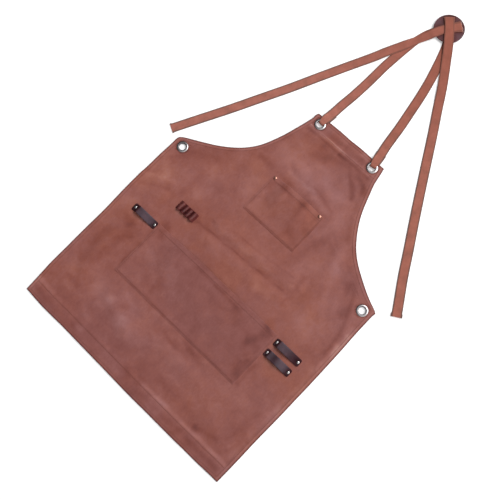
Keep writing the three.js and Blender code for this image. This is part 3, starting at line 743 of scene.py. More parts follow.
# how the edges stray from the pattern's line: place along the edge, reach along it, distance outward
stray = {
    "left": [(95, 45, 1.7), (285, 45, -1.6), (398, 40, 1.2), (535, 28, -1.0), (682, 40, -2.2), (853, 8, 2.4)],
    "right": [(140, 70, -1.9), (270, 70, -1.3), (390, 60, -0.9), (495, 55, -1.8), (564, 6, 5.0),
              (585, 16, -1.2), (680, 40, 1.7), (812, 24, -1.8)],
    "bottom": [(-280, 55, 2.6), (40, 60, 1.2), (180, 70, 1.0), (270, 30, 0.8)],
    "top": [(-40, 30, 0.9), (30, 40, 1.4)],
    "inward": 70,
}
# painted shade at the edges, painted shadow along the facings' inner edges and round the grommets' flanges;
# edgeLight is a paler band just inside the edges
edgeShade = {"reach": 2.3, "shade": -1.9}
edgeLight = {"from": 5.5, "reach": 3.2, "shade": 0.3}
facingShadow = {"reach": 7, "shade": -0.2}
grommetShadow = {"radius": 16.8, "reach": 1.8, "shade": -0.9}
warmthDrift = {"depth": 0.25, "waves": 110}

t = np.linspace(0, 1, 400)[:, None]
armholeCorners = np.array([(panel["waistHalf"], panel["waist"]), panel["armholeLow"], panel["armholeHigh"],
                           (panel["bibHalf"], panel["top"])])
armhole = ((1 - t) ** 3 * armholeCorners[0] + 3 * t * (1 - t) ** 2 * armholeCorners[1]
           + 3 * t ** 2 * (1 - t) * armholeCorners[2] + t ** 3 * armholeCorners[3])


def halfWidth(y):
    s = np.clip(y / panel["waist"], 0, 1)
    skirt = panel["bottomHalf"] + (panel["waistHalf"] - panel["bottomHalf"]) * s
    skirt = skirt + panel["sideBow"] * 4 * s * (1 - s)
    half = np.where(y > panel["waist"], np.interp(y, armhole[:, 1], armhole[:, 0]), skirt)
    return half - panel["cornerEase"] * bell(y - panel["waist"], panel["cornerReach"])


def edgeLean(y):        # how much longer the hem measures across than square to the edge
    slope = np.interp(y + 1, armhole[:, 1], armhole[:, 0]) - np.interp(y, armhole[:, 1], armhole[:, 0])
    return 1 + (np.hypot(1, slope) - 1) * ease(panel["waist"], panel["waist"] + panel["leanEase"], y)


def fromSide(x, y):        # distance from the side edge, square to it
    return (halfWidth(y) - np.abs(x)) / edgeLean(y)


def centreOf(node):
    low, high = nodeBox(node)
    return (low[:2] + high[:2]) / 2


def restHeight(x, y):        # underside of the panel above the floor
    held, calm, soft = (np.zeros(np.shape(x)) for _ in range(3))
    for lift in lifts:
        for node in lift["nodes"]:
            away = fromSpot(x, y, centreOf(node))
            held = np.maximum(held, lift["rise"] * (1 - ease(lift["flat"], lift["fade"], away)))
            calm = np.maximum(calm, 1 - ease(lift["flat"] / 2, lift["fade"], away))
    for fold in folds:
        away, side = fromPath(x, y, fold["path"])
        reach = np.where(side > 0, fold["left"], fold["right"])
        soft = np.maximum(soft, fold["rise"] * (1 + np.cos(math.pi * np.clip(away / reach, 0, 1))) / 2)
    swell = sum(height * np.clip(0.5 + drift(x, y, waves, seed), 0, 1) for height, waves, seed in swells)
    return np.maximum(held, soft * (1 - calm)) + swell * (1 - calm)


def hemLayer(x, y):        # 1 where a second layer lies behind
    fade, waist, bibFold = panel["hemFade"], panel["waist"], panel["top"] - panel["bibHem"]
    sleeve = ease(waist - panel["sleeveEase"], waist + panel["sleeveEase"], y)
    band = panel["sideHem"] + (panel["armholeHem"] - panel["sideHem"]) * sleeve
    soft = fade + (panel["armholeFade"] - fade) * sleeve
    facing = np.where(x < 0, np.interp(y, facingLeft["height"], facingLeft["half"]),
                      np.interp(y, facingRight["height"], facingRight["half"]))
    nearCorner = ease(*facingSpan["in"], y) * (1 - ease(*facingSpan["out"], y))
    layers = [
        1 - ease(panel["bottomHem"], panel["bottomHem"] + fade, y),
        ease(bibFold - fade, bibFold, y),
        1 - ease(band - soft / 2, band + soft / 2, fromSide(x, y)),
        ease(-fade, 0, np.abs(x) - facing) * nearCorner,
    ]
    return np.max(layers, axis=0)


def seamGroove(x, y):        # 1 along a row of stitches
    away = [y - panel[seam] for seam in levelSeams]
    away.append(fromSide(x, y) - panel["edgeSeam"])
    return np.max([bell(row, panel["seamWidth"]) for row in away], axis=0)


def panelThickness(x, y):
    return panel["cloth"] + panel["hem"] * hemLayer(x, y) - panel["seamDepth"] * seamGroove(x, y)


def panelFront(x, y):
    return restHeight(x, y) + panelThickness(x, y)


def placed(x, y):        # from the pattern to the apron as it lies
    def along(edge, at):
        return sum(out * bell(at - spot, reach) for spot, reach, out in stray[edge])
    half, deep = halfWidth(y), stray["inward"]
    lean = edgeLean(y)
    side = np.where(x < 0, -along("left", y), along("right", y)) * lean
    side = side * ease(deep * lean, 0, half - np.abs(x))
    bow = panel["bottomBow"] * np.clip(1 - y / panel["bowReach"], 0, 1) * (x / half) ** 2
    ends = along("top", x) * ease(panel["top"] - deep, panel["top"], y)
    ends = ends - along("bottom", x) * ease(deep, 0, y)
    return x + side, y + bow + ends


def buildPanel():
    lines = [panel[seam] for seam in levelSeams]
    ends, first = rimSteps[:endSteps], rimSteps[endSteps]
    inner = crowded(first, panel["top"] - first, panel["rowStep"], lines, seamSteps)
    heights = np.concatenate([ends, inner, panel["top"] - ends[::-1]])
    y = np.repeat(heights[:, None], panel["columns"] + 2 * len(rimSteps) - 1, axis=1)
    edge = halfWidth(heights)[:, None] - rimSteps * edgeLean(heights)[:, None]
    share = np.linspace(-1, 1, panel["columns"] + 1)[1:-1]
    x = np.hstack([-edge, share * edge[:, -1:], edge[:, ::-1]])
    beside = fromSide(x, y)
    rim = np.minimum(beside, np.minimum(y, panel["top"] - y))
    # painted shade and highlight from the stroke tables; painted shade in the seam grooves, at the edges,
    # along the facings and round the grommets
    shade = painted(x, y, creaseLightAndShade + rubbedLitAndShaded + hemToneLightAndShade) + panel["seamShade"] * seamGroove(x, y)
    shade += edgeShade["shade"] * bell(rim, edgeShade["reach"])
    shade += edgeLight["shade"] * bell(beside - edgeLight["from"], edgeLight["reach"])
    for sign, facing in ((-1, facingLeft), (1, facingRight)):
        line = [(sign * half, height) for height, half in zip(facing["height"], facing["half"])][1:-1]
        shade += facingShadow["shade"] * bell(fromPath(x, y, line)[0], facingShadow["reach"])
    grommets = [centreOf(node) for node in waistGrommets + bibGrommets]
    for spot in grommets:
        ring = fromSpot(x, y, spot) - grommetShadow["radius"]
        shade += grommetShadow["shade"] * bell(ring, grommetShadow["reach"])
    warmth = painted(x, y, panelWarmth) + warmthDrift["depth"] * drift(x, y, warmthDrift["waves"], 8.8)
    piece = sewnSheet("apron_panel", *placed(x, y), restHeight(x, y), panelThickness(x, y), rim, canvas,
                      {"shade": shade, "warmth": warmth})
    punch(piece, grommets, holes["grommet"])
    punch(piece, [centreOf(node) for node in rivetNodes], holes["rivet"], holes["rivetSides"])
    return piece


panelPiece = dress(buildPanel(), "waxed_canvas", "canvas_panel")
print("panel:", len(panelPiece.data.polygons), "faces")


# Patch pockets

pockets = [
    {"name": "chest_pocket_patch", "node": "chest_pocket", "margin": 18, "gape": 8, "mouthHem": 15,
     "shade": 0.04, "warmth": 0.0, "step": 2.4, "flat": (0.174, 0.121)},
    {"name": "waist_pocket_patch", "node": "waist_pocket", "margin": 22, "gape": 9, "mouthHem": 14,
     "shade": -0.04, "warmth": -0.25, "step": 2.8, "flat": (0.421, 0.164)},
]
pocketEdge = {"turnIn": 9, "layer": 0.35, "pressed": 0.35, "pressReach": 16, "fade": 8, "seam": 4.2,
              "mouthSeam": 2, "seamEnd": 2, "groove": 0.1, "grooveWidth": 1.4, "grooveShade": -0.05,
              "base": 16, "across": 0.45, "up": 0.75, "seat": 0.12, "ripple": 0.25, "rippleWaves": 26,
              "rippleFrom": (12, 30)}
pocketRim = np.array([0, 0.15, 0.5, 1.2, 2.4, 4.2, 6, 8.5, 10.5, 12.5])
mouthSteps = [-5, -3, -1.4, 0, 1.4, 3]
# wax tone on the pockets, with painted shadow along their bottom edges and below their mouths
pocketTonesAndShade = {
    "chest_pocket": [
        (22, -0.24, (45, 575), (80, 600)),
        (20, -0.42, (40, 640), (52, 622)),
        (9, -0.2, (-40, 648), (30, 646)),
        (13, -0.2, (-14, 644), (-6, 630)),
        (11, -0.26, (34, 638), (42, 626)),
        (11, 0.2, (-50, 630), (-44, 605)),
        (8, -0.2, (-73, 634), (-72, 620)),
        (14, -0.32, (70, 572), (78, 556)),
        (10, 0.2, (55, 625), (70, 615)),
        (7, -0.2, (25, 640), (35, 600)),
        (4, -0.16, (-70, 643), (80, 641)),
        (5, -0.24, (89, 650), (89, 540)),
        (3, -0.3, (-80, 539), (88, 539)),
    ],
    "waist_pocket": [
        (40, 0.16, (-170, 300), (-160, 230)),
        (16, -0.32, (92, 318), (135, 317), (200, 288)),
        (18, 0.26, (-78, 275), (-62, 265)),
        (16, 0.2, (-155, 335), (-148, 320)),
        (16, 0.18, (84, 266), (98, 264)),
        (14, -0.2, (165, 284), (206, 276)),
        (14, -0.22, (186, 226), (198, 214)),
        (11, -0.24, (-5, 312), (60, 310)),
        (11, -0.28, (-190, 350), (-180, 340)),
        (11, -0.16, (188, 356), (191, 338)),
        (12, -0.14, (20, 342), (170, 334)),
        (16, -0.18, (-4, 232), (4, 218)),
        (10, -0.22, (-104, 326), (-102, 312)),
        (14, -0.2, (-136, 230), (-126, 220)),
        (5, -0.2, (-90, 356), (30, 356), (200, 352)),
        (5, -0.2, (-60, 343), (60, 339), (110, 330)),
        (12, -0.3, (180, 355), (170, 320), (163, 285)),
        (14, -0.32, (195, 270), (196, 225)),
        (5, 0.28, (206, 290), (185, 255)),
        (7, -0.22, (-105, 230), (-98, 205)),
        (14, -0.16, (40, 235), (55, 200)),
        (1.7, -0.3, (-198, 197), (205, 197)),
        (45, -0.14, (150, 300), (190, 240)),
    ],
}
pocketWarmth = {
    "chest_pocket": [(40, 0.8, (70, 640), (72, 560))],
    "waist_pocket": [(90, -0.5, (-20, 275), (150, 260))],
}


def mouthLine(pocket):        # height of the seam along the mouth
    return nodeBox(pocket["node"])[1][1] - pocket["mouthHem"] + pocketEdge["mouthSeam"]


def pocketFields(pocket, x, y):        # underside, thickness, distance from the edge, stitch groove
    low, high = nodeBox(pocket["node"])
    side = np.minimum(x - low[0], high[0] - x)
    width = (high[0] - low[0]) / 2
    across = ease(pocket["margin"], pocket["margin"] + width * pocketEdge["across"], side)
    full = low[1] + (high[1] - low[1]) * pocketEdge["up"]
    gape = pocket["gape"] * across * ease(low[1] + pocketEdge["base"], full, y)
    under = panelFront(x, y) + pocketEdge["seat"] + gape
    rim = np.minimum(side, y - low[1])
    turnIn = 1 - ease(pocketEdge["turnIn"], pocketEdge["turnIn"] + pocketEdge["fade"], rim)
    mouth = ease(high[1] - pocket["mouthHem"] - pocketEdge["fade"], high[1] - pocket["mouthHem"], y)
    groove = np.maximum(bell(rim - pocketEdge["seam"], pocketEdge["grooveWidth"]),
                        bell(y - mouthLine(pocket), pocketEdge["grooveWidth"]))
    pressed = pocketEdge["pressed"] + (1 - pocketEdge["pressed"]) * ease(0, pocketEdge["pressReach"], rim)
    layers = panel["cloth"] * pressed + pocketEdge["layer"] * np.maximum(turnIn, mouth)
    return under, layers - pocketEdge["groove"] * groove, np.minimum(rim, high[1] - y), groove


def pocketFront(pocket):
    def surface(x, y):
        under, thick, _, _ = pocketFields(pocket, x, y)
        return under + thick
    return surface


def buildPocket(pocket):
    low, high = nodeBox(pocket["node"])
    far, step = pocketRim[-1], pocket["step"]
    columns = np.concatenate([low[0] + pocketRim, np.arange(low[0] + far + step, high[0] - far, step),
                              high[0] - pocketRim[::-1]])
    inner = crowded(low[1] + far, high[1] - pocketRim[4], step, [mouthLine(pocket)], mouthSteps)
    heights = np.concatenate([low[1] + pocketRim[:-1], inner, high[1] - pocketRim[3::-1]])
    x, y = np.meshgrid(columns, heights)
    under, thick, rim, groove = pocketFields(pocket, x, y)
    ripple = pocketEdge["ripple"] * drift(x, y, pocketEdge["rippleWaves"], 3.9)
    under = under + ripple * ease(*pocketEdge["rippleFrom"], rim)
    shade = pocket["shade"] + painted(x, y, pocketTonesAndShade[pocket["node"]]) + pocketEdge["grooveShade"] * groove
    warmth = pocket["warmth"] + painted(x, y, pocketWarmth[pocket["node"]])
    return sewnSheet(pocket["name"], x, y, under, thick, rim, canvas, {"shade": shade, "warmth": warmth})


for pocket in pockets:
    piece = buildPocket(pocket)
    if pocket["node"] == "chest_pocket":
        rivets = [centreOf(node) for node in rivetNodes if "chest" in node]
        punch(piece, rivets, holes["rivet"], holes["rivetSides"])
    dress(piece, "waxed_canvas", pocket["node"])
    print("pocket:", pocket["name"], len(piece.data.polygons), "faces")


# Leather tool loops and pen loops

toolLoop = {"thick": 2.2, "flatEnd": 10, "corner": 0.7, "step": 1.0, "endStep": 0.3, "roundEnd": 4.0,
            "trim": 2.0, "earlyRise": (-37, -28), "polishEase": 4}
# where each starts to rise, its crest, the share of the rise close to the first rivet, and where hands have
# polished it, with how gently that fades
loopShapes = {
    "tool_loop_left": {"start": -33, "crest": -24, "early": 0, "polish": (-23, 42), "fade": 20, "shine": 1},
    "tool_loop_right_upper": {"start": -36, "crest": -27, "early": 0, "polish": (-36, 34), "fade": 56,
                              "shine": 0.8},
    "tool_loop_right_lower": {"start": -21, "crest": -2, "early": 0.62, "polish": (-36, 36), "fade": 20,
                              "shine": 0.86},
}
penStrip = {"thick": 1.8, "tab": 4, "tabStep": 1.5, "valley": 3, "spans": [11.5, 11, 11, 11], "corner": 0.5,
            "slant": 3.0, "steps": 14, "polishFrom": 0.35}


def endWidth(fromEnd, width, corner):        # corners rounded in plan
    cut = np.clip(1 - fromEnd / corner, 0, 1)
    return width - 2 * corner * (1 - np.sqrt(1 - cut ** 2))


def buildToolLoop(node):
    low, high = nodeBox(node)
    half, width = (high[0] - low[0]) / 2, high[1] - low[1] - toolLoop["trim"]
    shape = loopShapes[node]
    x = np.linspace(-half, half, int(2 * half / toolLoop["step"]) + 1)
    x = np.sort(np.concatenate([x, [toolLoop["endStep"] - half, half - toolLoop["endStep"]]]))
    seat = low[2] + toolLoop["thick"] / 2
    rise = high[2] - low[2] - toolLoop["thick"]
    foot, crest = half - toolLoop["flatEnd"], shape["crest"]
    early, late = ease(*toolLoop["earlyRise"], x), ease(shape["start"], crest, x)
    climb = shape["early"] * early + (1 - shape["early"]) * late
    z = seat + rise * np.minimum(climb, 1 - ease(crest, foot, x))
    middle = (low + high) / 2
    stations = [(middle[0] + a, middle[1], b, 0.0, endWidth(half - abs(a), width, toolLoop["roundEnd"]),
                 toolLoop["thick"]) for a, b in zip(x, z)]
    piece = bandPiece(node + "_strap", stations, leather, toolLoop["corner"])
    rivets = [centreOf(n) for n in rivetNodes if n.startswith(node.replace("tool_loop", "rivet"))]
    punch(piece, rivets, holes["rivet"], holes["rivetSides"])
    along = spotsOf(piece)[:, 0] - middle[0]
    (first, last), soft = shape["polish"], toolLoop["polishEase"]
    worn = ease(first - soft, first + soft, along) * (1 - ease(last - shape["fade"], last, along))
    mark(piece, "polish", shape["shine"] * worn)
    return dress(piece, "dark_leather", node)


def buildPenStrip():
    low, high = nodeBox("pen_loop_strip")
    seat = low[2] + penStrip["thick"] / 2
    crown = high[2] - low[2] - penStrip["thick"]
    line = [(low[0], seat), (low[0] + penStrip["tabStep"], seat)]
    x = low[0] + penStrip["tab"]
    for span in penStrip["spans"]:
        for angle in np.linspace(0, math.pi, penStrip["steps"]):
            line.append((x + span * (1 - math.cos(angle)) / 2, seat + crown * math.sin(angle)))
        x += span + penStrip["valley"]
    line += [(high[0] - penStrip["tabStep"], seat), (high[0], seat)]
    middle = (low[1] + high[1]) / 2
    stations = [(a, middle, b, 0.0, high[1] - low[1], penStrip["thick"]) for a, b in line]
    piece = bandPiece("pen_loops", stations, penLeather, penStrip["corner"])
    mark(piece, "polish", ease(seat + penStrip["polishFrom"] * crown, high[2], spotsOf(piece)[:, 2]))
    for vertex in piece.data.vertices:        # the loops lean a little
        along = (vertex.co.x / mm - low[0]) / (high[0] - low[0])
        up = ((vertex.co.y - hemY) / mm - middle) / (high[1] - low[1])
        vertex.co.x += penStrip["slant"] * mm * up * math.sin(math.pi * min(max(along, 0), 1))
    return dress(piece, "dark_leather", "pen_loop_strip")


for node in loopShapes:
    buildToolLoop(node)
buildPenStrip()
print("leather: tool loops and pen loops")


# Grommets and rivets

grommet = {"bore": 9.3, "barrel": 10.1, "crest": 11.3, "flange": 15.7, "back": 14.8, "washer": 1.0,
           "rim": 1.6, "edge": 0.3, "undarkenedReach": 1.2}
rivet = {"shank": 2.0, "head": 4.0, "dome": 1.7, "skirt": 0.35, "under": 0.2, "back": 3.6, "cap": 0.8,
         "edge": 0.25}


def buildGrommet(node):
    low, high = nodeBox(node)
    front, back = high[2] - grommet["rim"], low[2]
    crest, rim, bore, edge = (grommet[size] for size in ("crest", "rim", "bore", "edge"))
    outer, washer = grommet["back"], back + grommet["washer"]
    quarter = np.linspace(0, math.pi / 2, 9)
    roll = [(crest + (grommet["flange"] - crest) * math.cos(a), front + rim * math.sin(a)) for a in quarter]
    roll += [(crest - (crest - bore) * math.sin(a), front + rim * math.cos(a)) for a in quarter[1:]]
    rest = [(bore, back + edge), (bore + edge, back), (outer - edge, back), (outer, back + edge),
            (outer, washer), (grommet["barrel"], washer), (grommet["barrel"], front)]
    piece = turned(node + "_ring", roll + rest, centreOf(node), nickel)
    outward = np.hypot(*(spotsOf(piece)[:, :2] - centreOf(node)).T)
    # painted shade in the bore and on the inner lip
    mark(piece, "undarkened", ease(bore, crest + grommet["undarkenedReach"], outward))
    return dress(piece, "nickel_plate", node)


def buildRivet(node):
    low, high = nodeBox(node)
    back, seat, head = low[2], high[2] - rivet["dome"], rivet["head"]
    outer, edge, skirt, cap = rivet["back"], rivet["edge"], rivet["skirt"], back + rivet["cap"]
    dome = [(head * math.cos(a), seat + skirt + (rivet["dome"] - skirt) * math.sin(a))
            for a in np.linspace(0, math.pi / 2, 9)]
    dome[-1] = (0, seat + rivet["dome"])
    profile = [(0, back), (outer - edge, back), (outer, back + edge), (outer, cap), (rivet["shank"], cap),
               (rivet["shank"], seat), (head - rivet["under"], seat)] + dome
    metal = rivetCopper if "chest" in node else rivetNickel
    piece = turned(node + "_cap", profile, centreOf(node), metal, 32)
    # painted shade round the foot of the head
    mark(piece, "undarkened", (spotsOf(piece)[:, 2] - seat) / rivet["dome"])
    return dress(piece, "nickel_plate", node)


for node in waistGrommets + bibGrommets:
    buildGrommet(node)
for node in rivetNodes:
    buildRivet(node)
print("metal: grommets and rivets")


# Webbing straps: sewn loop at the bib, under the disc, up through its slit and back over it

strap = {"width": 26, "thick": 2, "throatWidth": 15.4, "throatReach": -1.8, "foldThick": 3.6, "gap": 0.3,
         "step": 2.5, "turnSteps": 13, "corner": 0.9, "darkened": (30, 480), "darkenDepth": 0.5}
disc = {"thick": 3, "slitNear": 33, "slitFar": 36.4, "slitEase": 0.3, "turnIn": 1, "bevel": 0.7, "sides": 96,
        "grid": 4, "splits": 5, "weld": 0.01, "creaseAngle": 40, "shadowReach": (15, 27), "shadowPoints": 5}
discLow, discHigh = nodeBox("strap_disc")
discSpot = (discLow + discHigh) / 2
onFloor = strap["thick"] / 2
onStrap = 1.5 * strap["thick"] + strap["gap"]
onDisc = discHigh[2] + strap["gap"] + strap["thick"] / 2
onCrossing = onDisc + strap["thick"] + strap["gap"]

# runs: x and height of the middle, then its level if it isn't on the floor, and the width and thickness
# where they aren't the strap's own
leftStrap = {
    "name": "strap_left_webbing", "node": "strap_left", "grommet": "grommet_bib_left", "bibHeading": 86,
    "slitHeading": 51, "turnWidth": 32,
    "bibRun": [(-87, 908), (-81.6, 967), (-78.8, 1022), (-77.6, 1079), (-74.5, 1122), (-70.5, 1165),
               (-63.5, 1203, onFloor, 22), (-50.5, 1237), (-37.5, 1260, onStrap), (-21.3, 1278, onStrap)],
    "freeRun": [(-21.3, 1278, onDisc), (-32.5, 1262, onDisc), (-43.5, 1240, onDisc),
                (-49.5, 1226, onStrap + 3, 24), (-60, 1203, onStrap + 0.6, 20), (-68.5, 1187, onStrap, 22),
                (-83, 1155, onStrap), (-104, 1111.5, onStrap), (-114.5, 1087, onStrap), (-138.5, 1039.5),
                (-184.9, 943.6), (-221.6, 866), (-260.4, 789), (-299, 712.5), (-338.8, 637.4), (-372.8, 573),
                (-377, 565, onFloor, 30)],
}
rightStrap = {
    "name": "strap_right_webbing", "node": "strap_right", "grommet": "grommet_bib_right", "bibHeading": 100,
    "slitHeading": 130, "turnWidth": 29.5,
    "bibRun": [(76.4, 910), (67.6, 977), (59.3, 1027), (50.6, 1077), (40.3, 1125), (29, 1167), (17.5, 1205),
               (5, 1239), (-8.5, 1261.5), (-21.3, 1279), (-31.8, 1291.5)],
    "freeRun": [(-31.8, 1291.5, onCrossing), (-21.3, 1279, onCrossing), (-9.3, 1263, onCrossing),
                (5, 1244.5, onDisc + 0.4), (18, 1226.5, onStrap + 2.4), (34.5, 1201.5, onStrap + 0.4),
                (54, 1171.5, onStrap), (73, 1141, onStrap), (83.5, 1123, onStrap), (105.6, 1084),
                (143.3, 1019), (196.9, 923), (232.4, 860), (267.2, 799), (301, 741), (335.2, 681),
                (369.2, 626), (384.6, 601),
                (385.4, 599.6, strap["foldThick"] / 2, 29, strap["foldThick"]),
                (390, 592, strap["foldThick"] / 2, 29, strap["foldThick"])],
}


def wayOf(heading):
    return np.array([math.cos(math.radians(heading)), math.sin(math.radians(heading))])


def hairpin(spot, heading, reach, low, high, width, facing):
    radius = (high - low) / 2
    way = wayOf(heading)
    rows = []
    for angle in np.linspace(-math.pi / 2, math.pi / 2, strap["turnSteps"]):
        x, y = spot[:2] + way * (reach - radius + radius * math.cos(angle))
        rows.append((x, y, low + radius + radius * math.sin(angle), facing, width, strap["thick"]))
    return rows


def laid(run, turn):
    own = (onFloor, strap["width"], strap["thick"])
    rows = np.array([tuple(row) + own[len(row) - 2:] for row in run], float)
    ahead = np.vstack([rows[1:], rows[-1:]]) - np.vstack([rows[:1], rows[:-1]])
    headings = np.degrees(np.arctan2(ahead[:, 1], ahead[:, 0])) + turn
    return [(x, y, z, h, w, d) for (x, y, z, w, d), h in zip(rows, headings)]


def sewnLoop(side):
    low, high = nodeBox(side["grommet"])
    spot = (low + high) / 2
    over = high[2] + strap["gap"] + strap["thick"] / 2
    heading = side["bibHeading"]
    way = wayOf(heading)
    # distance up the strap, level, width
    behind = [(47, onFloor, 28.5), (36, onFloor, 28), (24, onFloor, 26.5), (15, onFloor, 23)]
    before = [(13, over, 21), (19, over, 25), (26, over - 1.2, 26), (39, onStrap + 0.5, 26),
              (49, onStrap, 26)]
    back = heading + 180
    rows = [(*(spot[:2] + way * d), z, back, w, strap["thick"]) for d, z, w in behind + before]
    throat = hairpin(spot, back, strap["throatReach"], onFloor, over, strap["throatWidth"], back)
    return rows[:len(behind)] + throat + rows[len(behind):]


def buildStrap(side):
    slitReach = disc["slitNear"] + disc["turnIn"] + strap["thick"] / 2
    heading = side["slitHeading"]
    turn = hairpin(discSpot, heading, slitReach, onStrap, onDisc, side["turnWidth"], heading + 180)
    stations = sewnLoop(side) + laid(side["bibRun"], 180) + turn + laid(side["freeRun"], 0)
    stations = smoothStations(stations, strap["step"])
    piece = bandPiece(side["name"], stations, webbing[side["node"]], strap["corner"], flats=11)
    x, y, _ = spotsOf(piece).T
    away = fromSpot(x, y, discSpot)
    # the webbing browner towards the disc
    mark(piece, "darkeningAndShadow", strap["darkenDepth"] * (1 - ease(*strap["darkened"], away)))
    dress(piece, "cotton_webbing", side["node"])
    return piece


def discOutlines():        # its round edge, then its slits
    radius = (discHigh[0] - discLow[0]) / 2 - disc["bevel"]
    outlines = [[radius * wayOf(360 * k / disc["sides"]) for k in range(disc["sides"])]]
    near, far = disc["slitNear"] - disc["bevel"], disc["slitFar"] + disc["bevel"]
    for side in (leftStrap, rightStrap):
        way, across = wayOf(side["slitHeading"]), wayOf(side["slitHeading"] + 90)
        half = side["turnWidth"] / 2 + disc["slitEase"] + disc["bevel"]
        corners = ((near, -half), (near, half), (far, half), (far, -half))
        outlines.append([way * r + across * s for r, s in corners])
    return outlines


def discShadow(x, y):        # painted shadow: 1 beside the straps that lie over it
    darkeningAndShadow = np.zeros(len(x))
    for side in (leftStrap, rightStrap):
        turn = discSpot[:2] + disc["slitNear"] * wayOf(side["slitHeading"])
        line = [turn] + [row[:2] for row in side["freeRun"][:disc["shadowPoints"]]]
        darkeningAndShadow = np.maximum(darkeningAndShadow, 1 - ease(*disc["shadowReach"], fromPath(x, y, line)[0]))
    return darkeningAndShadow


def buildDisc():
    curve = bpy.data.curves.new("strap_disc_leather", "CURVE")
    curve.dimensions = "2D"
    curve.fill_mode = "BOTH"
    curve.extrude = (disc["thick"] / 2 - disc["bevel"]) * mm
    curve.bevel_depth = disc["bevel"] * mm
    curve.bevel_resolution = 3
    for outline in discOutlines():
        spline = curve.splines.new("POLY")
        spline.points.add(len(outline) - 1)
        for point, (x, y) in zip(spline.points, outline):
            point.co = (x * mm, y * mm, 0, 1)
        spline.use_cyclic_u = True
    raw = addObject("disc_outline", curve)
    mesh = bpy.data.meshes.new_from_object(raw.evaluated_get(bpy.context.evaluated_depsgraph_get()))
    bpy.data.objects.remove(raw)
    build = bmesh.new()
    build.from_mesh(mesh)
    bmesh.ops.remove_doubles(build, verts=build.verts, dist=disc["weld"] * mm)
    for _ in range(disc["splits"]):        # small faces, to carry the painted shadow
        long = [edge for edge in build.edges if edge.calc_length() > disc["grid"] * mm]
        bmesh.ops.subdivide_edges(build, edges=long, cuts=1)
        bmesh.ops.triangulate(build, faces=build.faces)
    bmesh.ops.recalc_face_normals(build, faces=build.faces)
    build.to_mesh(mesh)
    build.free()
    mesh.transform(Matrix.Translation(toFrame(discSpot)))
    mesh.shade_smooth()
    mesh.set_sharp_from_angle(angle=math.radians(disc["creaseAngle"]))
    mesh.materials.clear()
    mesh.materials.append(discLeather)
    piece = addObject("strap_disc_leather", mesh)
    x, y, _ = spotsOf(piece).T
    # painted shadow beside the straps
    mark(piece, "darkeningAndShadow", discShadow(x, y))
    return dress(piece, "dark_leather", "strap_disc")


buildDisc()
for side in (leftStrap, rightStrap):
    buildStrap(side)


# Stitching

seamPath = {"skirtStep": 12.0, "skirtShort": 14, "sleeveStep": 6.0, "sleeveFrom": 6, "sleeveShort": 8}


def panelSeams():
    stitches, edge = [], panel["edgeSeam"]
    skirt = np.arange(panel["bottomSeam"], panel["waist"] - seamPath["skirtShort"], seamPath["skirtStep"])
    sleeve = np.arange(panel["waist"] + seamPath["sleeveFrom"], panel["top"] - seamPath["sleeveShort"],
                       seamPath["sleeveStep"])
    slope = halfWidth(sleeve + 1) - halfWidth(sleeve)
    lean = np.hypot(1, slope)
    for sign in (-1, 1):
        stitches += stitchesAlong([(sign * (halfWidth(v) - edge), v) for v in skirt])
        stitches += stitchesAlong([(sign * (halfWidth(v) - edge / k), v + edge * s / k)
                                   for v, s, k in zip(sleeve, slope, lean)])
    bottom = panel["bottomHalf"] - edge
    bib, top = (float(halfWidth(np.array(panel[seam]))) - edge for seam in ("bibSeam", "topSeam"))
    for seam, reach in zip(levelSeams, (bottom, bottom, bib, top)):
        stitches += stitchesAlong([(-reach, panel[seam]), (reach, panel[seam])])
    return stitchPiece("panel_stitching", stitches, panelFront, yarn, placed)


def pocketSeams(pocket):
    low, high = nodeBox(pocket["node"])
    seam, end, mouth = pocketEdge["seam"], pocketEdge["seamEnd"], mouthLine(pocket)
    left, right, bottom, top = low[0] + seam, high[0] - seam, low[1] + seam, high[1] - end
    stitches = stitchesAlong([(left, top), (left, bottom), (right, bottom), (right, top)])
    stitches += stitchesAlong([(left + end, mouth), (right - end, mouth)])
    return stitchPiece(pocket["name"] + "_stitching", stitches, pocketFront(pocket), yarn)


dress(panelSeams(), "waxed_canvas")
for pocket in pockets:
    dress(pocketSeams(pocket), "waxed_canvas")
print("stitching done")


# Floor, light and camera

stage = {"floorHalf": 30000, "floorColour": "f4f4f4", "floorGlow": 0.25, "keyPower": 215,
         "keySize": (4.5, 3.5), "keyFrom": (1.2, 3.1, 3.7), "roomLight": (0.89, 0.14, 0.43), "fill": 1.31}
photo = {"target": (7.0, 467.9, 0), "azimuth": 55.05, "elevation": 77.0, "distance": 1789.6, "roll": -11.68,
         "lens": 50.4, "sensor": 36}


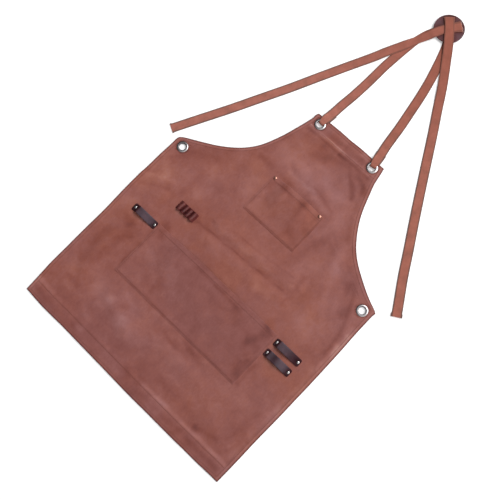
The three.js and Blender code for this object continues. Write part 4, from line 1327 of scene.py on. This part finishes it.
def buildStage():
    half, level = stage["floorHalf"], cadLow.z / mm
    white = toLinear(stage["floorColour"])
    # a white table lit from inside, so that it stays white in the picture
    paper, _, _ = newMaterial("litTable", {"Base Color": white, "Roughness": 0.9, "Specular IOR Level": 0.0,
                                           "Emission Color": white, "Emission Strength": stage["floorGlow"]})
    corners = [(-half, -half, level), (half, -half, level), (half, half, level), (-half, half, level)]
    newPiece("floor", corners, [(0, 1, 2, 3)], paper)
    lamp = bpy.data.lights.new("softKey", "AREA")
    lamp.shape = "RECTANGLE"
    lamp.size, lamp.size_y = stage["keySize"]
    lamp.energy = stage["keyPower"]
    key = addObject("softKey", lamp)
    spot = Matrix.Translation(stage["keyFrom"])
    key.matrix_world = spot @ spot.translation.to_track_quat("Z", "Y").to_matrix().to_4x4()
    # a room with its windows towards +X and the bib, and dim on the other side
    room = bpy.data.worlds.new("room")
    bpy.context.scene.world = room
    room.use_nodes = True
    tree = room.node_tree
    way = addNode(tree, "ShaderNodeTexCoord").outputs["Generated"]
    facing = addNode(tree, "ShaderNodeVectorMath", {0: way, 1: stage["roomLight"]}, operation="DOT_PRODUCT")
    share = ranged(tree, facing.outputs["Value"], (-1.0, 1.0), (0.0, 1.0))
    tone = toned(tree, share, [(0.3, "2c2c2e"), (0.5, "68686a"), (0.66, "a2a2a4"), (0.8, "d0d0d0"),
                               (0.95, "f4f4f4")])
    back = tree.nodes["Background"]
    wire(tree, back, {"Color": tone})
    back.inputs["Strength"].default_value = stage["fill"]
    bpy.context.scene.view_settings.view_transform = "Standard"


def buildCamera():
    lens = bpy.data.cameras.new("photo_camera")
    lens.sensor_width, lens.lens = photo["sensor"], photo["lens"]
    camera = addObject("photo_camera", lens)
    turn = (Matrix.Rotation(math.radians(photo["azimuth"]), 4, "Z")
            @ Matrix.Rotation(math.radians(90 - photo["elevation"]), 4, "X")
            @ Matrix.Rotation(math.radians(photo["roll"]), 4, "Z"))
    aim = Matrix.Translation(toFrame(photo["target"]))
    camera.matrix_world = aim @ turn @ Matrix.Translation((0, 0, photo["distance"] * mm))
    bpy.context.scene.camera = camera


buildStage()
buildCamera()
